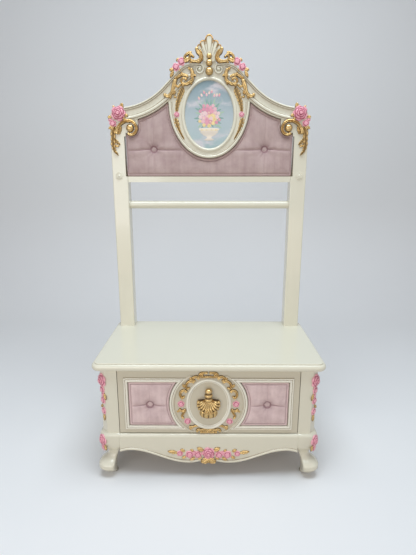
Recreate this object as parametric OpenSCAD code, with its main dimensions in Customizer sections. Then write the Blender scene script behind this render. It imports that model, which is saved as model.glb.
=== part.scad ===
// Child's clothes rack: a low bench with one drawer on short cabriole legs, two posts with a
// hanging rail between them, and an upholstered headboard under a carved serpentine crest.
// Origin: middle of the footprint, on the floor. +X right, +Y back, +Z up. Millimetres.

/* [Bench] */
// Width of the bench top
bench_w = 720; // [690:1:780]
// Depth of the bench top
bench_d = 400; // [385:1:440]
// Height of the sitting surface above the floor
bench_h = 400; // [395:1:430]
// Thickness of the moulded top board
top_t = 24; // [20:1:28]
// How far the top stands out past the sides
side_overhang = 20; // [14:1:26]
// How far the top stands out past the front
front_overhang = 16; // [12:1:22]
// How far the top stands out past the back
back_overhang = 10; // [6:1:14]
// Corner radius of the top board
top_corner_r = 26; // [20:1:34]

/* [Carcass] */
// Height of the base frame, legs and aprons
base_h = 157; // [150:1:165]
// Width and depth of the front corner posts and leg blocks
corner_w = 56; // [52:1:60]
// Chamfer on the outer corner of the front corner posts
corner_chamfer = 18; // [12:1:22]
// Width and depth of the back corner posts
rear_stile_w = 34; // [30:1:38]
// Thickness of the side panels
side_t = 18; // [14:1:20]
// Thickness of the back panel
back_t = 6; // [4:1:9]
// Thickness of the carcass floor
floor_t = 12; // [9:1:15]
// Thickness of the stretchers under the top
stretcher_t = 18; // [14:1:20]
// Width of the stretchers under the top
stretcher_w = 59; // [50:1:62]

/* [Base and legs] */
// Outward swell of the base moulding
base_bulge = 9; // [6:1:11]
// Thickness of the aprons behind the swell
apron_t = 20; // [16:1:24]
// Height of the apron arches above the floor
arch_z = 101; // [96:1:106]
// Height of the lowest part of the front apron above the floor
apron_drop_z = 53; // [46:1:60]
// Height of the floor glides
glide_h = 4; // [3:0.5:6]
// Diameter of the floor glides
glide_d = 22; // [18:1:26]

/* [Drawer] */
// Gap round the drawer front
drawer_gap = 2; // [1.5:0.1:3]
// Thickness of the drawer front
drawer_front_t = 20; // [18:1:24]
// Depth of the windows that hold the pads
window_depth = 8; // [6:1:10]
// Distance from the drawer front's side edge to the pad
pad_margin = 31; // [26:1:40]
// Height of the pads on the drawer
drawer_pad_h = 153; // [140:1:160]
// Radius of the round centre moulding at the pads
ring_r = 122; // [116:1:128]
// Thickness of the drawer sides and back
drawer_side_t = 12; // [10:1:15]
// Height of the drawer sides
drawer_side_h = 140; // [110:1:150]
// Length of the drawer sides and runners
drawer_l = 300; // [270:1:302]
// Thickness of the drawer bottom
drawer_bottom_t = 5; // [4:0.5:6]
// Thickness of a telescopic runner
runner_t = 12.7; // [12.7:0.1:14]
// Height of a telescopic runner
runner_h = 42; // [36:1:45]
// Diameter of the screw that holds the pull
pull_screw_d = 4; // [3:0.5:5]
// Height of the crown pull
pull_h = 96; // [86:1:104]

/* [Posts and rails] */
// Length of the posts above the bench
post_l = 690; // [640:1:760]
// Width of the posts
post_w = 54; // [50:1:58]
// Depth of the posts
post_d = 48; // [44:1:50]
// Distance from the back of the posts to the back of the bench top
post_setback = 14.5; // [12:0.5:18]
// Width of the posts beside the pad
stile_w = 47; // [44:1:49]
// Diameter of the hanging rail
rail_d = 28; // [22:1:34]
// Height of the hanging rail above the bench
rail_z = 458; // [400:1:470]
// Depth of the rail's sockets in the posts
socket_depth = 14; // [10:1:20]
// Height of the panel rail under the pad
panel_rail_h = 19.5; // [16:0.5:26]
// Height of the pad's lower edge below the top of the posts
pad_drop = 133.5; // [120:0.5:150]
// Diameter of the bolts under the posts
bolt_d = 6; // [5:1:8]
// Length of the bolts above the top board
bolt_l = 40; // [30:1:60]

/* [Headboard] */
// Thickness of the headboard frame
frame_t = 26; // [22:1:30]
// Thickness of the board behind the pad
backing_t = 6; // [4:1:9]
// Height of the crest's shoulders above the posts
shoulder_z = 94.5; // [90:0.5:104]
// Height of the crest's top above the posts
peak_z = 230.5; // [222:0.5:240]
// Width of the crest's moulding
arm_w = 46; // [40:1:50]
// Half width of the oval plaque
plaque_a = 137.5; // [130:0.5:144]
// Half height of the oval plaque
plaque_b = 178; // [170:1:184]
// Height of the plaque's middle above the posts
plaque_z = 106; // [102:1:110]
// Half width of the oval picture
picture_a = 82.5; // [74:0.5:88]
// Half height of the oval picture
picture_b = 108; // [98:1:112]
// Height of the picture's middle above the posts
picture_z = 69; // [66:1:74]
// Width of the raised rim round the picture
rim_w = 12; // [9:1:15]
// Thickness of the picture board
picture_t = 4; // [3:0.5:6]
// Height of the shell finial
shell_h = 86; // [74:1:92]
// Depth of a sewn tuft
tuft_depth = 9; // [5:1:10]
// Radius of a cushion button
button_r = 7; // [5:0.5:9]

/* [Hidden] */
$fn = 48;
fit = 0.3;
glue = 0.3;
ivory = [0.92, 0.90, 0.82];
gold = [0.78, 0.60, 0.25];
rose_pink = [0.90, 0.55, 0.66];
mauve = [0.80, 0.68, 0.72];
steel = [0.72, 0.73, 0.75];
timber = [0.80, 0.68, 0.50];

// Bench planes
body_hw = bench_w / 2 - side_overhang;
face_y = -bench_d / 2 + front_overhang;
back_y = bench_d / 2 - back_overhang;
top_z = bench_h - top_t;
inner_hw = body_hw - corner_w;
corner_in_y = face_y + corner_w;
stile_in_x = body_hw - rear_stile_w;
stile_in_y = back_y - rear_stile_w;
leg_back_y = back_y - corner_w;
inside_hw = body_hw - side_t;
front_back_y = face_y + drawer_front_t;
shoulder_r = 9;

// Drawer planes
drawer_hw = inner_hw - drawer_gap;
drawer_z0 = base_h + drawer_gap + 0.5;
drawer_z1 = top_z - drawer_gap;
pad_zc = (drawer_z0 + drawer_z1) / 2 - 6;
// The drawer's round centre is drawn for a front of the height centre_span, and follows the front's height
centre_span = 214.5;
centre_k = (drawer_z1 - drawer_z0) / centre_span;
centre_r = ring_r * centre_k;
pad_x1 = drawer_hw - pad_margin;
side_x1 = inner_hw - runner_t - fit;
side_x0 = side_x1 - drawer_side_t;
side_z0 = base_h + floor_t + 8;
bottom_z = side_z0 + 8;
groove = 5;
box_y0 = front_back_y + glue;
box_y1 = box_y0 + drawer_l;
runner_z = side_z0 + drawer_side_h / 2;
pull_hw = 37;
pull_z = pad_zc - 50;
pull_depth = 25;

// Headboard planes, heights counted from the top of the posts
crest_z = bench_h + post_l;
post_y = bench_d / 2 - post_setback - post_d;
post_in = body_hw - post_w;
open_hw = body_hw - stile_w;
crest_r = 38;
crest_x0 = body_hw - crest_r - 14;
crest_flat = 52;
crest_heading = 7;
crest_slope = 44;
crest_top_r = 72;
volute_x = 33;
volute_r = 20;
seat_z = peak_z - 8.5;
scroll_x = open_hw - 23;
scroll_z = 31;
scroll_r = 25;
bead_h = 8;
channel_h = 3.4;
tuft_x = 192.5;
tuft_z = -42;
pad_edge = 14;
pad_crown = 3;

// Crest edge: a hollow arc, a straight and a round arc that meet smoothly
crest_run = crest_x0 - crest_flat - crest_top_r * sin(crest_slope);
crest_rise = peak_z - shoulder_z - crest_top_r * (1 - cos(crest_slope));
crest_det = 1 - cos(crest_slope - crest_heading);
crest_low_r = (crest_run * sin(crest_slope) - crest_rise * cos(crest_slope)) / crest_det;
hollow_x = crest_x0 + crest_low_r * sin(crest_heading);
hollow_z = shoulder_z + crest_low_r * cos(crest_heading);

// General functions
function flat(list) = [for (row = list) each row];
function unit(v) = v / norm(v);
function arc(c, r, a0, a1, n) = [for (k = [0:n]) let (a = a0 + (a1 - a0) * k / n) c + r * [cos(a), sin(a)]];
function mirrored(pts) = [for (p = pts) [-p[0], p[1]]];
function reversed(pts) = [for (k = [len(pts) - 1:-1:0]) pts[k]];
function ellipse(a, b, c, n) = [for (k = [0:n - 1]) c + [a * cos(360 * k / n), b * sin(360 * k / n)]];
function gauss(d, r) = exp(-d * d / (r * r));
// A smooth curve through hand-set points, with n steps between neighbours
function at(pts, k) = pts[min(max(k, 0), len(pts) - 1)];
function spline(pts, n) = [for (k = [0:len(pts) - 2]) for (s = [0:n - (k < len(pts) - 2 ? 1 : 0)])
    let (t = s / n, a = at(pts, k - 1), b = pts[k], c = pts[k + 1], d = at(pts, k + 2))
    0.5 * (2 * b + (c - a) * t + (2 * a - 5 * b + 4 * c - d) * t * t + (3 * b - a - 3 * c + d) * t * t * t)];

// A carved solid: a grid of points that faces -Y over a flat back at y = back
module relief(front, back, closed = false) {
    m = len(front);
    n = len(front[0]);
    w = closed ? m : m - 1;
    backs = [for (row = front) each [[row[0][0], back, row[0][2]], [row[n - 1][0], back, row[n - 1][2]]]];
    function f(i, j) = (i % m) * n + j;
    function b(i, j) = m * n + (i % m) * 2 + j;
    skin = [for (i = [0:w - 1]) for (j = [0:n - 2])
        each [[f(i, j), f(i + 1, j + 1), f(i + 1, j)], [f(i, j), f(i, j + 1), f(i + 1, j + 1)]]];
    rear = [for (i = [0:w - 1]) each [[b(i, 0), b(i + 1, 0), b(i + 1, 1)], [b(i, 0), b(i + 1, 1), b(i, 1)]]];
    low = [for (i = [0:w - 1]) each [[f(i, 0), f(i + 1, 0), b(i + 1, 0)], [f(i, 0), b(i + 1, 0), b(i, 0)]]];
    high = [for (i = [0:w - 1])
        each [[f(i, n - 1), b(i + 1, 1), f(i + 1, n - 1)], [f(i, n - 1), b(i, 1), b(i + 1, 1)]]];
    start = [for (j = [0:n - 2]) [b(0, 0), f(0, j + 1), f(0, j)]];
    end = [for (j = [0:n - 2]) [b(m - 1, 0), f(m - 1, j), f(m - 1, j + 1)]];
    tips = [[b(0, 0), b(0, 1), f(0, n - 1)], [b(m - 1, 0), f(m - 1, n - 1), b(m - 1, 1)]];
    polyhedron(concat(flat(front), backs), concat(skin, rear, low, high, closed ? [] : concat(start, end, tips)));
}

// A solid through a stack of rings, each counterclockwise seen from above
module loft(rings) {
    n = len(rings[0]);
    m = len(rings);
    side = [for (k = [0:m - 2]) for (i = [0:n - 1]) let (a = k * n + i, b = k * n + (i + 1) % n)
        each [[a, b + n, b], [a, a + n, b + n]]];
    floor_cap = [for (i = [1:n - 2]) [0, i, i + 1]];
    roof_cap = [for (i = [1:n - 2]) [(m - 1) * n, (m - 1) * n + i + 1, (m - 1) * n + i]];
    polyhedron(flat(rings), concat(side, floor_cap, roof_cap));
}

// A gilt scroll: a rounded strip along a path [x, z] that tapers from w0 to w1, on the plane y = 0
module strip(path, w0, w1, h) {
    m = len(path);
    relief([for (i = [0:m - 1])
        let (t = unit(at(path, i + 1) - at(path, i - 1)), s = [-t[1], t[0]], w = w0 + (w1 - w0) * i / (m - 1))
        [for (u = [-1, -0.4, 0.4, 1]) let (p = path[i] + s * u * w) [p[0], -0.8 - h * (1 - u * u), p[1]]]], 0);
}

// A carved leaf from its foot to its tip, on the plane y = 0
module leaf(foot, tip, w, h) {
    d = tip - foot;
    a = atan2(d[1], d[0]);
    l = norm(d);
    translate([foot[0], 0, foot[1]])
        rotate([0, -a, 0])
            hull() {
                translate([l * 0.4, -0.5, 0]) cube([l * 0.3, 1, w], center = true);
                translate([l * 0.06, -0.5, 0]) cube([l * 0.1, 1, w * 0.3], center = true);
                translate([l * 0.97, -0.5, 0]) cube([l * 0.05, 1, w * 0.1], center = true);
                translate([l * 0.45, -h / 2, 0]) cube([l * 0.3, h, w * 0.2], center = true);
            }
}

// A carved rose with five outer petals, on the plane y = 0
module rose(x, z, r) {
    translate([x, 0, z])
        rotate([90, 0, 0]) {
            for (k = [0:4])
                rotate([0, 0, 72 * k + 18])
                    translate([r * 0.55, 0, 0])
                        cylinder(r = r * 0.45, h = r * 0.26);
            rotate_extrude()
                polygon([[0, 0], [r * 0.8, 0], [r * 0.78, r * 0.34], [r * 0.64, r * 0.42], [r * 0.58, r * 0.36],
                    [r * 0.44, r * 0.52], [r * 0.38, r * 0.46], [r * 0.22, r * 0.58], [0, r * 0.5]]);
        }
}

// Both sides of a symmetrical pair
module pair() {
    children();
    mirror([1, 0, 0]) children();
}

// The right-hand one of a pair is the left-hand one mirrored
module hand(side) {
    if (side > 0) mirror([1, 0, 0]) children();
    else children();
}

// Bench top: a core plate, a moulded edge on each side and a turned quarter at each corner
edge_w = 16;
function edge_profile() = concat([[0, 0], [edge_w - 5, 0]], arc([edge_w - 5, 5], 5, -90, 0, 4),
    arc([edge_w - 6, top_t - 12], 6, 0, 90, 5), [[edge_w - 9, top_t - 6], [edge_w - 10, top_t - 2]],
    arc([edge_w - 12, top_t - 2], 2, 0, 90, 3), [[0, top_t]]);

module bench_top() {
    w = bench_w / 2 - edge_w;
    d = bench_d / 2 - edge_w;
    r = top_corner_r - edge_w;
    color(ivory)
        translate([0, 0, top_z])
            difference() {
                union() {
                    linear_extrude(top_t) {
                        square([2 * w - 2 * r, 2 * d], center = true);
                        square([2 * w, 2 * d - 2 * r], center = true);
                    }
                    for (s = [0, 1]) {
                        mirror([s, 0, 0])
                            translate([w, d - r, 0]) rotate([90, 0, 0]) linear_extrude(2 * d - 2 * r) polygon(edge_profile());
                        mirror([0, s, 0])
                            translate([-w + r, d, 0]) rotate([90, 0, 90]) linear_extrude(2 * w - 2 * r) polygon(edge_profile());
                        for (q = [0, 1])
                            mirror([s, 0, 0]) mirror([0, q, 0])
                                translate([w - r, d - r, 0])
                                    rotate_extrude(angle = 90)
                                        polygon(concat([[0, 0]], [for (p = edge_profile()) p + [r, 0]], [[0, top_t]]));
                    }
                }
                bolt_places() translate([0, 0, -1]) cylinder(d = bolt_d + 1, h = top_t + 2);
            }
}

// Two bolts under each post, on the post's front half where the stretcher lies
bolt_x = [post_in + 11, post_in + 27];
bolt_y = post_y + 9.5;
module bolt_places() {
    for (s = [-1, 1]) for (x = bolt_x) translate([s * x, bolt_y, 0]) children();
}

module post_bolts() {
    color(steel)
        bolt_places() {
            translate([0, 0, top_z - stretcher_t - 4]) cylinder(d = bolt_d * 1.66, h = 4);
            translate([0, 0, top_z - stretcher_t - 1]) cylinder(d = bolt_d, h = 1 + stretcher_t + top_t + bolt_l);
        }
}

// Carcass
module pilaster(side) {
    c = corner_chamfer;
    hand(side)
        color(ivory)
            translate([0, 0, base_h])
                linear_extrude(top_z - base_h)
                    polygon([[-inner_hw, face_y], [-inner_hw, corner_in_y], [-body_hw, corner_in_y],
                        [-body_hw, face_y + c], [-body_hw + c, face_y]]);
}

module rear_stile(side) {
    hand(side)
        color(ivory)
            translate([-body_hw, stile_in_y, base_h])
                cube([rear_stile_w, rear_stile_w, top_z - base_h]);
}

module side_panel(side) {
    hand(side)
        color(ivory)
            translate([-body_hw, corner_in_y + glue, base_h])
                cube([side_t, stile_in_y - corner_in_y - 2 * glue, top_z - base_h]);
}

module back_panel() {
    w = 2 * (stile_in_x - glue);
    color(timber)
        translate([-w / 2, back_y - back_t, base_h])
            cube([w, back_t, top_z - base_h]);
}

// The room that a corner post takes out of a board
module corner_notches(h) {
    pair() {
        translate([inner_hw - glue, face_y, -1]) cube([corner_w + 1, corner_w + glue, h + 2]);
        translate([stile_in_x - glue, stile_in_y - glue, -1]) cube([corner_w, corner_w, h + 2]);
    }
}

module carcass_floor() {
    w = 2 * (inside_hw - glue);
    color(timber)
        translate([0, 0, base_h])
            difference() {
                translate([-w / 2, front_back_y + glue, 0])
                    cube([w, back_y - back_t - front_back_y - 2 * glue, floor_t]);
                corner_notches(floor_t);
            }
}

module stretcher_front() {
    w = 2 * (inside_hw - glue);
    color(timber)
        translate([0, 0, top_z - stretcher_t])
            difference() {
                translate([-w / 2, front_back_y + glue, 0]) cube([w, stretcher_w, stretcher_t]);
                corner_notches(stretcher_t);
            }
}

module stretcher_back() {
    w = 2 * (inside_hw - glue);
    color(timber)
        difference() {
            translate([-w / 2, stile_in_y - glue - stretcher_w, top_z - stretcher_t])
                cube([w, stretcher_w, stretcher_t]);
            bolt_places() translate([0, 0, top_z - stretcher_t - 1]) cylinder(d = bolt_d + 1, h = stretcher_t + 2);
        }
}

module runner_rail(side) {
    hand(side)
        color(timber)
            translate([-inside_hw + glue, corner_in_y + glue, runner_z - runner_h / 2])
                cube([inside_hw - inner_hw - glue, stile_in_y - corner_in_y - 2 * glue, runner_h]);
}

// Base frame: the swell of the moulding at height z
function swell(z) = z > base_h - shoulder_r
    ? base_bulge * sqrt(max(0, 1 - pow((z - base_h + shoulder_r) / shoulder_r, 2)))
    : base_bulge * (1 - 0.35 * pow((base_h - shoulder_r - z) / 100, 2));

// Serpentine lower edge: drop at the middle, arch near the legs
lobe = 64;
arch_in = 34;
function apron_edge(x, half, drop) = let (u = abs(x), top = half - arch_in)
    u < lobe ? drop + 4.5 * (1 + cos(180 * u / lobe))
    : u < top ? drop + (arch_z - drop) * (1 - cos(180 * (u - lobe) / (top - lobe))) / 2
    : arch_z - 7 * pow((u - top) / arch_in, 2);

// An apron on the plane y = 0, whose moulded face swells towards -Y
module apron(half, drop, cols) {
    steps = [0, 1.5, 4.5, 8, 10];
    heights = [0, 2.6, 3.4, 2.4, 0];
    relief([for (i = [0:cols])
        let (x = half * (2 * i / cols - 1), low = apron_edge(x, half, drop), rest = base_h - shoulder_r - low - 10)
        concat([for (k = [0:4]) [x, -swell(low + steps[k]) - heights[k] + (k == 0 ? 2 : 0), low + steps[k]]],
            [for (k = [1:3]) let (z = low + 10 + rest * k / 3) [x, -swell(z), z]],
            [for (a = [25, 50, 75, 90]) [x, -base_bulge * cos(a) , base_h - shoulder_r + shoulder_r * sin(a)]])],
        apron_t);
}

module front_apron() {
    color(ivory) translate([0, face_y, 0]) apron(inner_hw, apron_drop_z, 44);
}

side_apron_drop = 82;
module side_apron(side) {
    middle = (corner_in_y + leg_back_y) / 2;
    hand(side)
        color(ivory)
            translate([-body_hw, middle, 0])
                rotate([0, 0, -90])
                    apron((leg_back_y - corner_in_y) / 2, side_apron_drop, 26);
}

rear_apron_h = 54;
module rear_apron() {
    color(timber)
        translate([-inner_hw, back_y - apron_t, base_h - rear_apron_h])
            cube([2 * inner_hw, apron_t, rear_apron_h]);
}

// Leg stations: height, inner offset, outer reach past the block, corner cut and its roundness
leg_stations = [[0, 16, -14, 16, 0.30], [6, 13, -6, 20, 0.32], [16, 11, 7, 28, 0.36], [28, 10, 14, 32, 0.40],
    [40, 10, 14, 32, 0.40], [50, 10, 7, 28, 0.36], [58, 10, -4, 20, 0.25], [68, 9, -9, 15, 0.15],
    [80, 5, -5, 15, 0.08], [92, 2, 2, 18, 0.05]];
function leg_ring(z, a, b, c, k) = let (m = b - c / 2, q = c / 4, o = c * k)
    [[a + 3, a, z], [b - 2, a, z], [b, a + 2, z], [b, b - c, z],
     [b - q + o * 0.3, b - c + q + o * 0.5, z], [m + o * 0.5, m + o * 0.5, z],
     [b - c + q + o * 0.5, b - q + o * 0.3, z],
     [b - c, b, z], [a + 2, b, z], [a, b - 2, z], [a, a + 3, z]];

module leg_form() {
    upper = [base_h - 40, base_h - 25, base_h - 14, base_h - 9, base_h - 5, base_h - 2, base_h];
    loft(concat(
        [for (s = leg_stations) leg_ring(glide_h + s[0], s[1], corner_w + s[2], s[3], s[4])],
        [for (z = upper) leg_ring(z, 0, corner_w + swell(z), corner_chamfer + swell(z) * 0.4, 0.03)]));
}

module leg_front(side) {
    hand(-side) color(ivory) translate([inner_hw, corner_in_y, 0]) mirror([0, 1, 0]) leg_form();
}

module leg_rear(side) {
    hand(-side) color(ivory) translate([inner_hw, leg_back_y, 0]) leg_form();
}

foot_in = corner_w / 2 + 1;
module floor_glides() {
    color([0.25, 0.24, 0.23])
        pair() {
            translate([inner_hw + foot_in, corner_in_y - foot_in, 0]) cylinder(d = glide_d, h = glide_h);
            translate([inner_hw + foot_in, leg_back_y + foot_in, 0]) cylinder(d = glide_d, h = glide_h);
        }
}

// Garlands on the base: apron spray, knees and corner posts
apron_seat = face_y - base_bulge + 0.1;
bead_seat = face_y - base_bulge - 1.7;
corner_seat = 0.2;
spray = [[0, 91, 21], [34.4, 86, 13], [61.5, 87, 13.5], [90, 90, 10]];
pilaster_l = top_z - base_h;
corner_rose_at = [0.822, 0.648, 0.48, 0.329];
corner_rose_r = [18, 12, 11, 10];
corner_leaf_at = [0.566, 0.265];
knee_rose_r = 18;
knee_z = 118;

// The plane of the corner post's chamfer, seen from the left front
module chamfer_plane(z) {
    c = corner_chamfer;
    translate([-body_hw + c / 2, face_y + c / 2, z]) rotate([0, 0, -45]) translate([0, -corner_seat, 0]) children();
}

module knee_plane() {
    translate([-body_hw + corner_chamfer / 2, face_y + corner_chamfer / 2, knee_z])
        rotate([0, 0, -45])
            translate([0, -base_bulge * 1.2 - corner_seat, 0])
                children();
}

module base_roses() {
    color(rose_pink) {
        translate([0, bead_seat + 1.8, 0]) rose(spray[0][0], spray[0][1], spray[0][2]);
        translate([0, apron_seat, 0]) {
            pair() for (k = [1:3]) rose(spray[k][0], spray[k][1], spray[k][2]);
        }
        pair() {
            for (k = [0:3]) chamfer_plane(base_h + pilaster_l * corner_rose_at[k]) rose(0, 0, corner_rose_r[k]);
            knee_plane() rose(0, 0, knee_rose_r);
        }
    }
}

module base_leaves() {
    color(gold) {
        translate([0, bead_seat, 0]) leaf([0, 68], [0, 57], 30, 5);
        translate([0, apron_seat, 0]) {
            pair() {
                leaf([27, 101], [24, 112], 9, 4);
                leaf([101, 91], [134, 97], 12, 4);
                leaf([75, 96], [78, 107], 8, 4);
                leaf([46, 75], [42, 67.5], 8, 4);
            }
        }
        pair() {
            chamfer_plane(base_h + pilaster_l * corner_leaf_at[0]) leaf([4, 4.5], [-3, -6.5], 10, 4);
            chamfer_plane(base_h + pilaster_l * corner_leaf_at[1]) leaf([0, 2], [3, -18], 9, 4);
            knee_plane() leaf([0, knee_rose_r + 1.5], [3, knee_rose_r + 13], 9, 4);
        }
    }
}

// Drawer front, with y = 0 on its face
function ring_x(z, r) = sqrt(max(1, r * r - pow(z, 2)));
// Outline of a window, grown by g, about the pads' middle height
function window(g) = let (h = drawer_pad_h / 2 + g, x = pad_x1 + g, r = centre_r - g, a = asin(h / r))
    concat([[x, -h], [x, h]], arc([0, 0], r, a, -a, 12));

module on_window_side(t) {
    translate([0, 0, pad_zc]) rotate([90, 0, 0]) linear_extrude(t) children();
}

module drawer_front() {
    h = drawer_z1 - drawer_z0;
    ring_cut = h / 2 - 10.25;
    color(ivory)
        translate([0, face_y, 0])
            difference() {
                union() {
                    translate([-drawer_hw, 0, drawer_z0]) cube([2 * drawer_hw, drawer_front_t, h]);
                    pair() {
                        on_window_side(2) polygon(window(10));
                        on_window_side(4.5) polygon(window(5));
                    }
                    intersection() {
                        translate([0, 0, pad_zc])
                            rotate([90, 0, 0])
                                rotate_extrude()
                                    polygon([[centre_r - 15, -1], [centre_r - 15, 2], [centre_r - 13.5, 4], [centre_r - 11, 4.4],
                                        [centre_r - 9, 3], [centre_r - 9, -1]]);
                        translate([-drawer_hw, -10, pad_zc - ring_cut]) cube([2 * drawer_hw, 20, 2 * ring_cut]);
                    }
                }
                pair()
                    translate([0, window_depth, pad_zc])
                        rotate([90, 0, 0])
                            linear_extrude(window_depth + 10) polygon(window(0));
                translate([-side_x1, drawer_front_t - groove, bottom_z - glue / 2])
                    cube([2 * side_x1, groove + 1, drawer_bottom_t + glue]);
                translate([0, drawer_front_t + 1, pull_z + pull_h * 0.3])
                    rotate([90, 0, 0]) cylinder(d = pull_screw_d + 0.5, h = 40);
            }
}

module drawer_side(side) {
    hand(side)
        color(timber)
            difference() {
                translate([-side_x1, box_y0, side_z0]) cube([drawer_side_t, drawer_l, drawer_side_h]);
                translate([-side_x0 - groove, box_y0 - 1, bottom_z - glue / 2])
                    cube([groove + 1, drawer_l + 2, drawer_bottom_t + glue]);
            }
}

module drawer_back() {
    z = bottom_z + drawer_bottom_t + glue;
    color(timber)
        translate([-side_x0 + glue, box_y1 - drawer_side_t, z])
            cube([2 * (side_x0 - glue), drawer_side_t, side_z0 + drawer_side_h - z]);
}

module drawer_bottom() {
    w = 2 * (side_x0 + groove - glue);
    y0 = front_back_y - groove + glue;
    color(timber)
        translate([-w / 2, y0, bottom_z])
            cube([w, box_y1 - y0, drawer_bottom_t]);
}

// Tufted drawer pad on the right, one sewn tuft with faint pleats
drawer_tuft_x = pad_x1 - 67;
drawer_tuft_z = -4;
drawer_pad_crown = 4;
function drawer_pad_y(x, z, side) = let (h = drawer_pad_h / 2,
    e = max(0, min(pad_x1 - x, h - abs(z), x - side)), d = norm([x - drawer_tuft_x, z - drawer_tuft_z]))
    4 - (4 + drawer_pad_crown) * (1 - exp(-e / 9)) + 6.5 * gauss(d, 13)
    + (0.6 * gauss(z - drawer_tuft_z, 4) + 0.4 * gauss(x - drawer_tuft_x, 4)) * (1 - exp(-e / 9));

// Places along a pad, closer together at its rim and at its tuft
pad_steps = [0, 0.04, 0.12, 0.26, 0.5, 0.7, 0.83, 0.92, 1];
function pad_places(lo, mid, hi) = concat([for (f = pad_steps) lo + (mid - lo) * f],
    [for (k = [len(pad_steps) - 2:-1:0]) hi + (mid - hi) * pad_steps[k]]);

module drawer_pad(side) {
    h = drawer_pad_h / 2 - fit;
    hand(-side)
        color(mauve)
            translate([0, face_y, pad_zc])
                relief([for (z = pad_places(-h, drawer_tuft_z, h)) let (x0 = ring_x(z, centre_r + 1))
                    [for (x = pad_places(pad_x1 - fit, drawer_tuft_x, x0)) [x, drawer_pad_y(x, z, x0), z]]],
                    window_depth - fit);
}

module button() {
    rotate([90, 0, 0])
        rotate_extrude()
            polygon([[0, 0], [button_r, 0], [button_r, 1.2], [button_r * 0.85, 2.6], [button_r * 0.5, 3.6], [0, 4]]);
}

module drawer_buttons() {
    y = drawer_pad_y(drawer_tuft_x, drawer_tuft_z, 0) - 2.6;
    color(mauve)
        pair() translate([drawer_tuft_x, face_y + y, pad_zc + drawer_tuft_z]) button();
}

// A raised oval: the ellipse a, b swept by a profile of [inset, height] from outside to inside
module oval_moulding(a, b, profile, n) {
    relief([for (k = [0:n - 1]) [for (p = profile)
        [(a - p[0]) * cos(360 * k / n), -p[1], (b - p[0]) * sin(360 * k / n)]]], 0, true);
}

medallion_a = 72 * centre_k;
medallion_b = 88 * centre_k;
module medallion_rim() {
    color(ivory)
        translate([0, face_y, pad_zc])
            oval_moulding(medallion_a, medallion_b, [[0, 2], [2, 5], [5, 6.2], [8, 5], [10, 2.5], [12, 1.5]], 40);
}

// Gilt scrolls of the drawer's wreath, right half, about the pads' middle height, drawn for a front
// of the height wreath_span
wreath_span = 212.5;
wreath_k = (drawer_z1 - drawer_z0) / wreath_span;
wreath_runs = [
    [[8, 97], [24, 103], [34, 95], [46, 90], [55, 80], [50, 72]],
    [[52, 84], [66, 76], [76, 60], [84, 42], [78, 34], [72, 41]],
    [[88, 38], [95, 28], [93, 18], [86, 20]],
    [[92, -17], [94, -26], [87, -33], [80, -44], [84, -50]],
    [[54, -77], [48, -86], [36, -87], [24, -95], [12, -92]]];

module drawer_wreath() {
    color(gold)
        translate([0, face_y, pad_zc]) {
            pair() {
                for (run = wreath_runs) strip(spline(run * wreath_k, 2), 4.5, 3, 4);
                leaf([10, 96] * wreath_k, [-2, 107] * wreath_k, 11, 4);
                leaf([38, 98] * wreath_k, [44, 110] * wreath_k, 9, 4);
                leaf([92, -30] * wreath_k, [102, -24] * wreath_k, 8, 4);
                leaf([12, -93] * wreath_k, [-2, -96] * wreath_k, 6, 4);
                leaf([42, -86] * wreath_k, [47, -94] * wreath_k, 8, 4);
            }
        }
}

module drawer_roses() {
    color(rose_pink)
        translate([0, face_y, pad_zc])
            pair() {
                rose(86 * wreath_k, 2 * wreath_k, 11);
                rose(69 * wreath_k, -60 * wreath_k, 10);
            }
}

// Crown-shaped pull: a fluted bowl of petals under a turned collar and ball
module crown_pull() {
    bowl = pull_h * 0.58;
    flutes = 8;
    cols = 32;
    color(gold)
        translate([0, face_y, pull_z])
            difference() {
                union() {
                    relief([for (i = [0:cols]) let (u = 2 * i / cols - 1, full = sqrt(max(0, 1 - u * u)),
                        ridge = abs(sin(180 * flutes * i / cols)))
                        [for (v = [0, 0.1, 0.3, 0.55, 0.8, 1])
                            let (w = pull_hw * (0.62 + 0.38 * sin(160 * v)))
                            [w * u, -2 - (pull_depth - 5) * full * (0.5 + 0.5 * sin(20 + 140 * v)) - 2.5 * ridge * sin(180 * v),
                                bowl * v + 3 * (1 - full) * (1 - v)]]], 0);
                    translate([0, -pull_depth / 2, bowl - 6])
                        rotate_extrude()
                            polygon([[0, 0], [9, 0], [9, 8], [12, 10], [12, 14], [7, 17], [7, 19], [10, 23],
                                [11, pull_h - bowl - 4], [8, pull_h - bowl + 3], [0, pull_h - bowl + 6]]);
                }
                translate([0, 1, pull_h * 0.3]) rotate([90, 0, 0]) cylinder(d = pull_screw_d, h = 14);
            }
}

module pull_screw() {
    color(steel)
        translate([0, front_back_y, pull_z + pull_h * 0.3])
            rotate([90, 0, 0]) {
                translate([0, 0, -2.4]) cylinder(r = pull_screw_d, h = 2.4);
                translate([0, 0, -1]) cylinder(d = pull_screw_d - 0.2, h = drawer_front_t + 12);
            }
}

// Telescopic runner on the left, as nested channels; x counts from the packing rail inwards
module channel(x0, web_x, x1, reach, y, l) {
    wall = 1.2;
    translate([-inner_hw, y + l, runner_z])
        rotate([90, 0, 0])
            linear_extrude(l)
                difference() {
                    translate([x0, -reach]) square([x1 - x0, 2 * reach]);
                    translate([web_x > x0 ? x0 - 1 : x0 + wall, -reach + wall])
                        square([x1 - x0 - wall + 1, 2 * (reach - wall)]);
                }
}

runner_gap = 0.4;
runner_lip = 1.2;
runner_y = box_y0 + 2;
runner_l = drawer_l - 4;
module runner_cabinet(side) {
    hand(side) color(steel) channel(0, 0, runner_t - 2, runner_h / 2, runner_y, runner_l);
}

module runner_middle(side) {
    x0 = runner_lip + runner_gap;
    hand(side) color(steel) channel(x0, x0, runner_t - 1.6, runner_h / 2 - x0, runner_y, runner_l);
}

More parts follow.
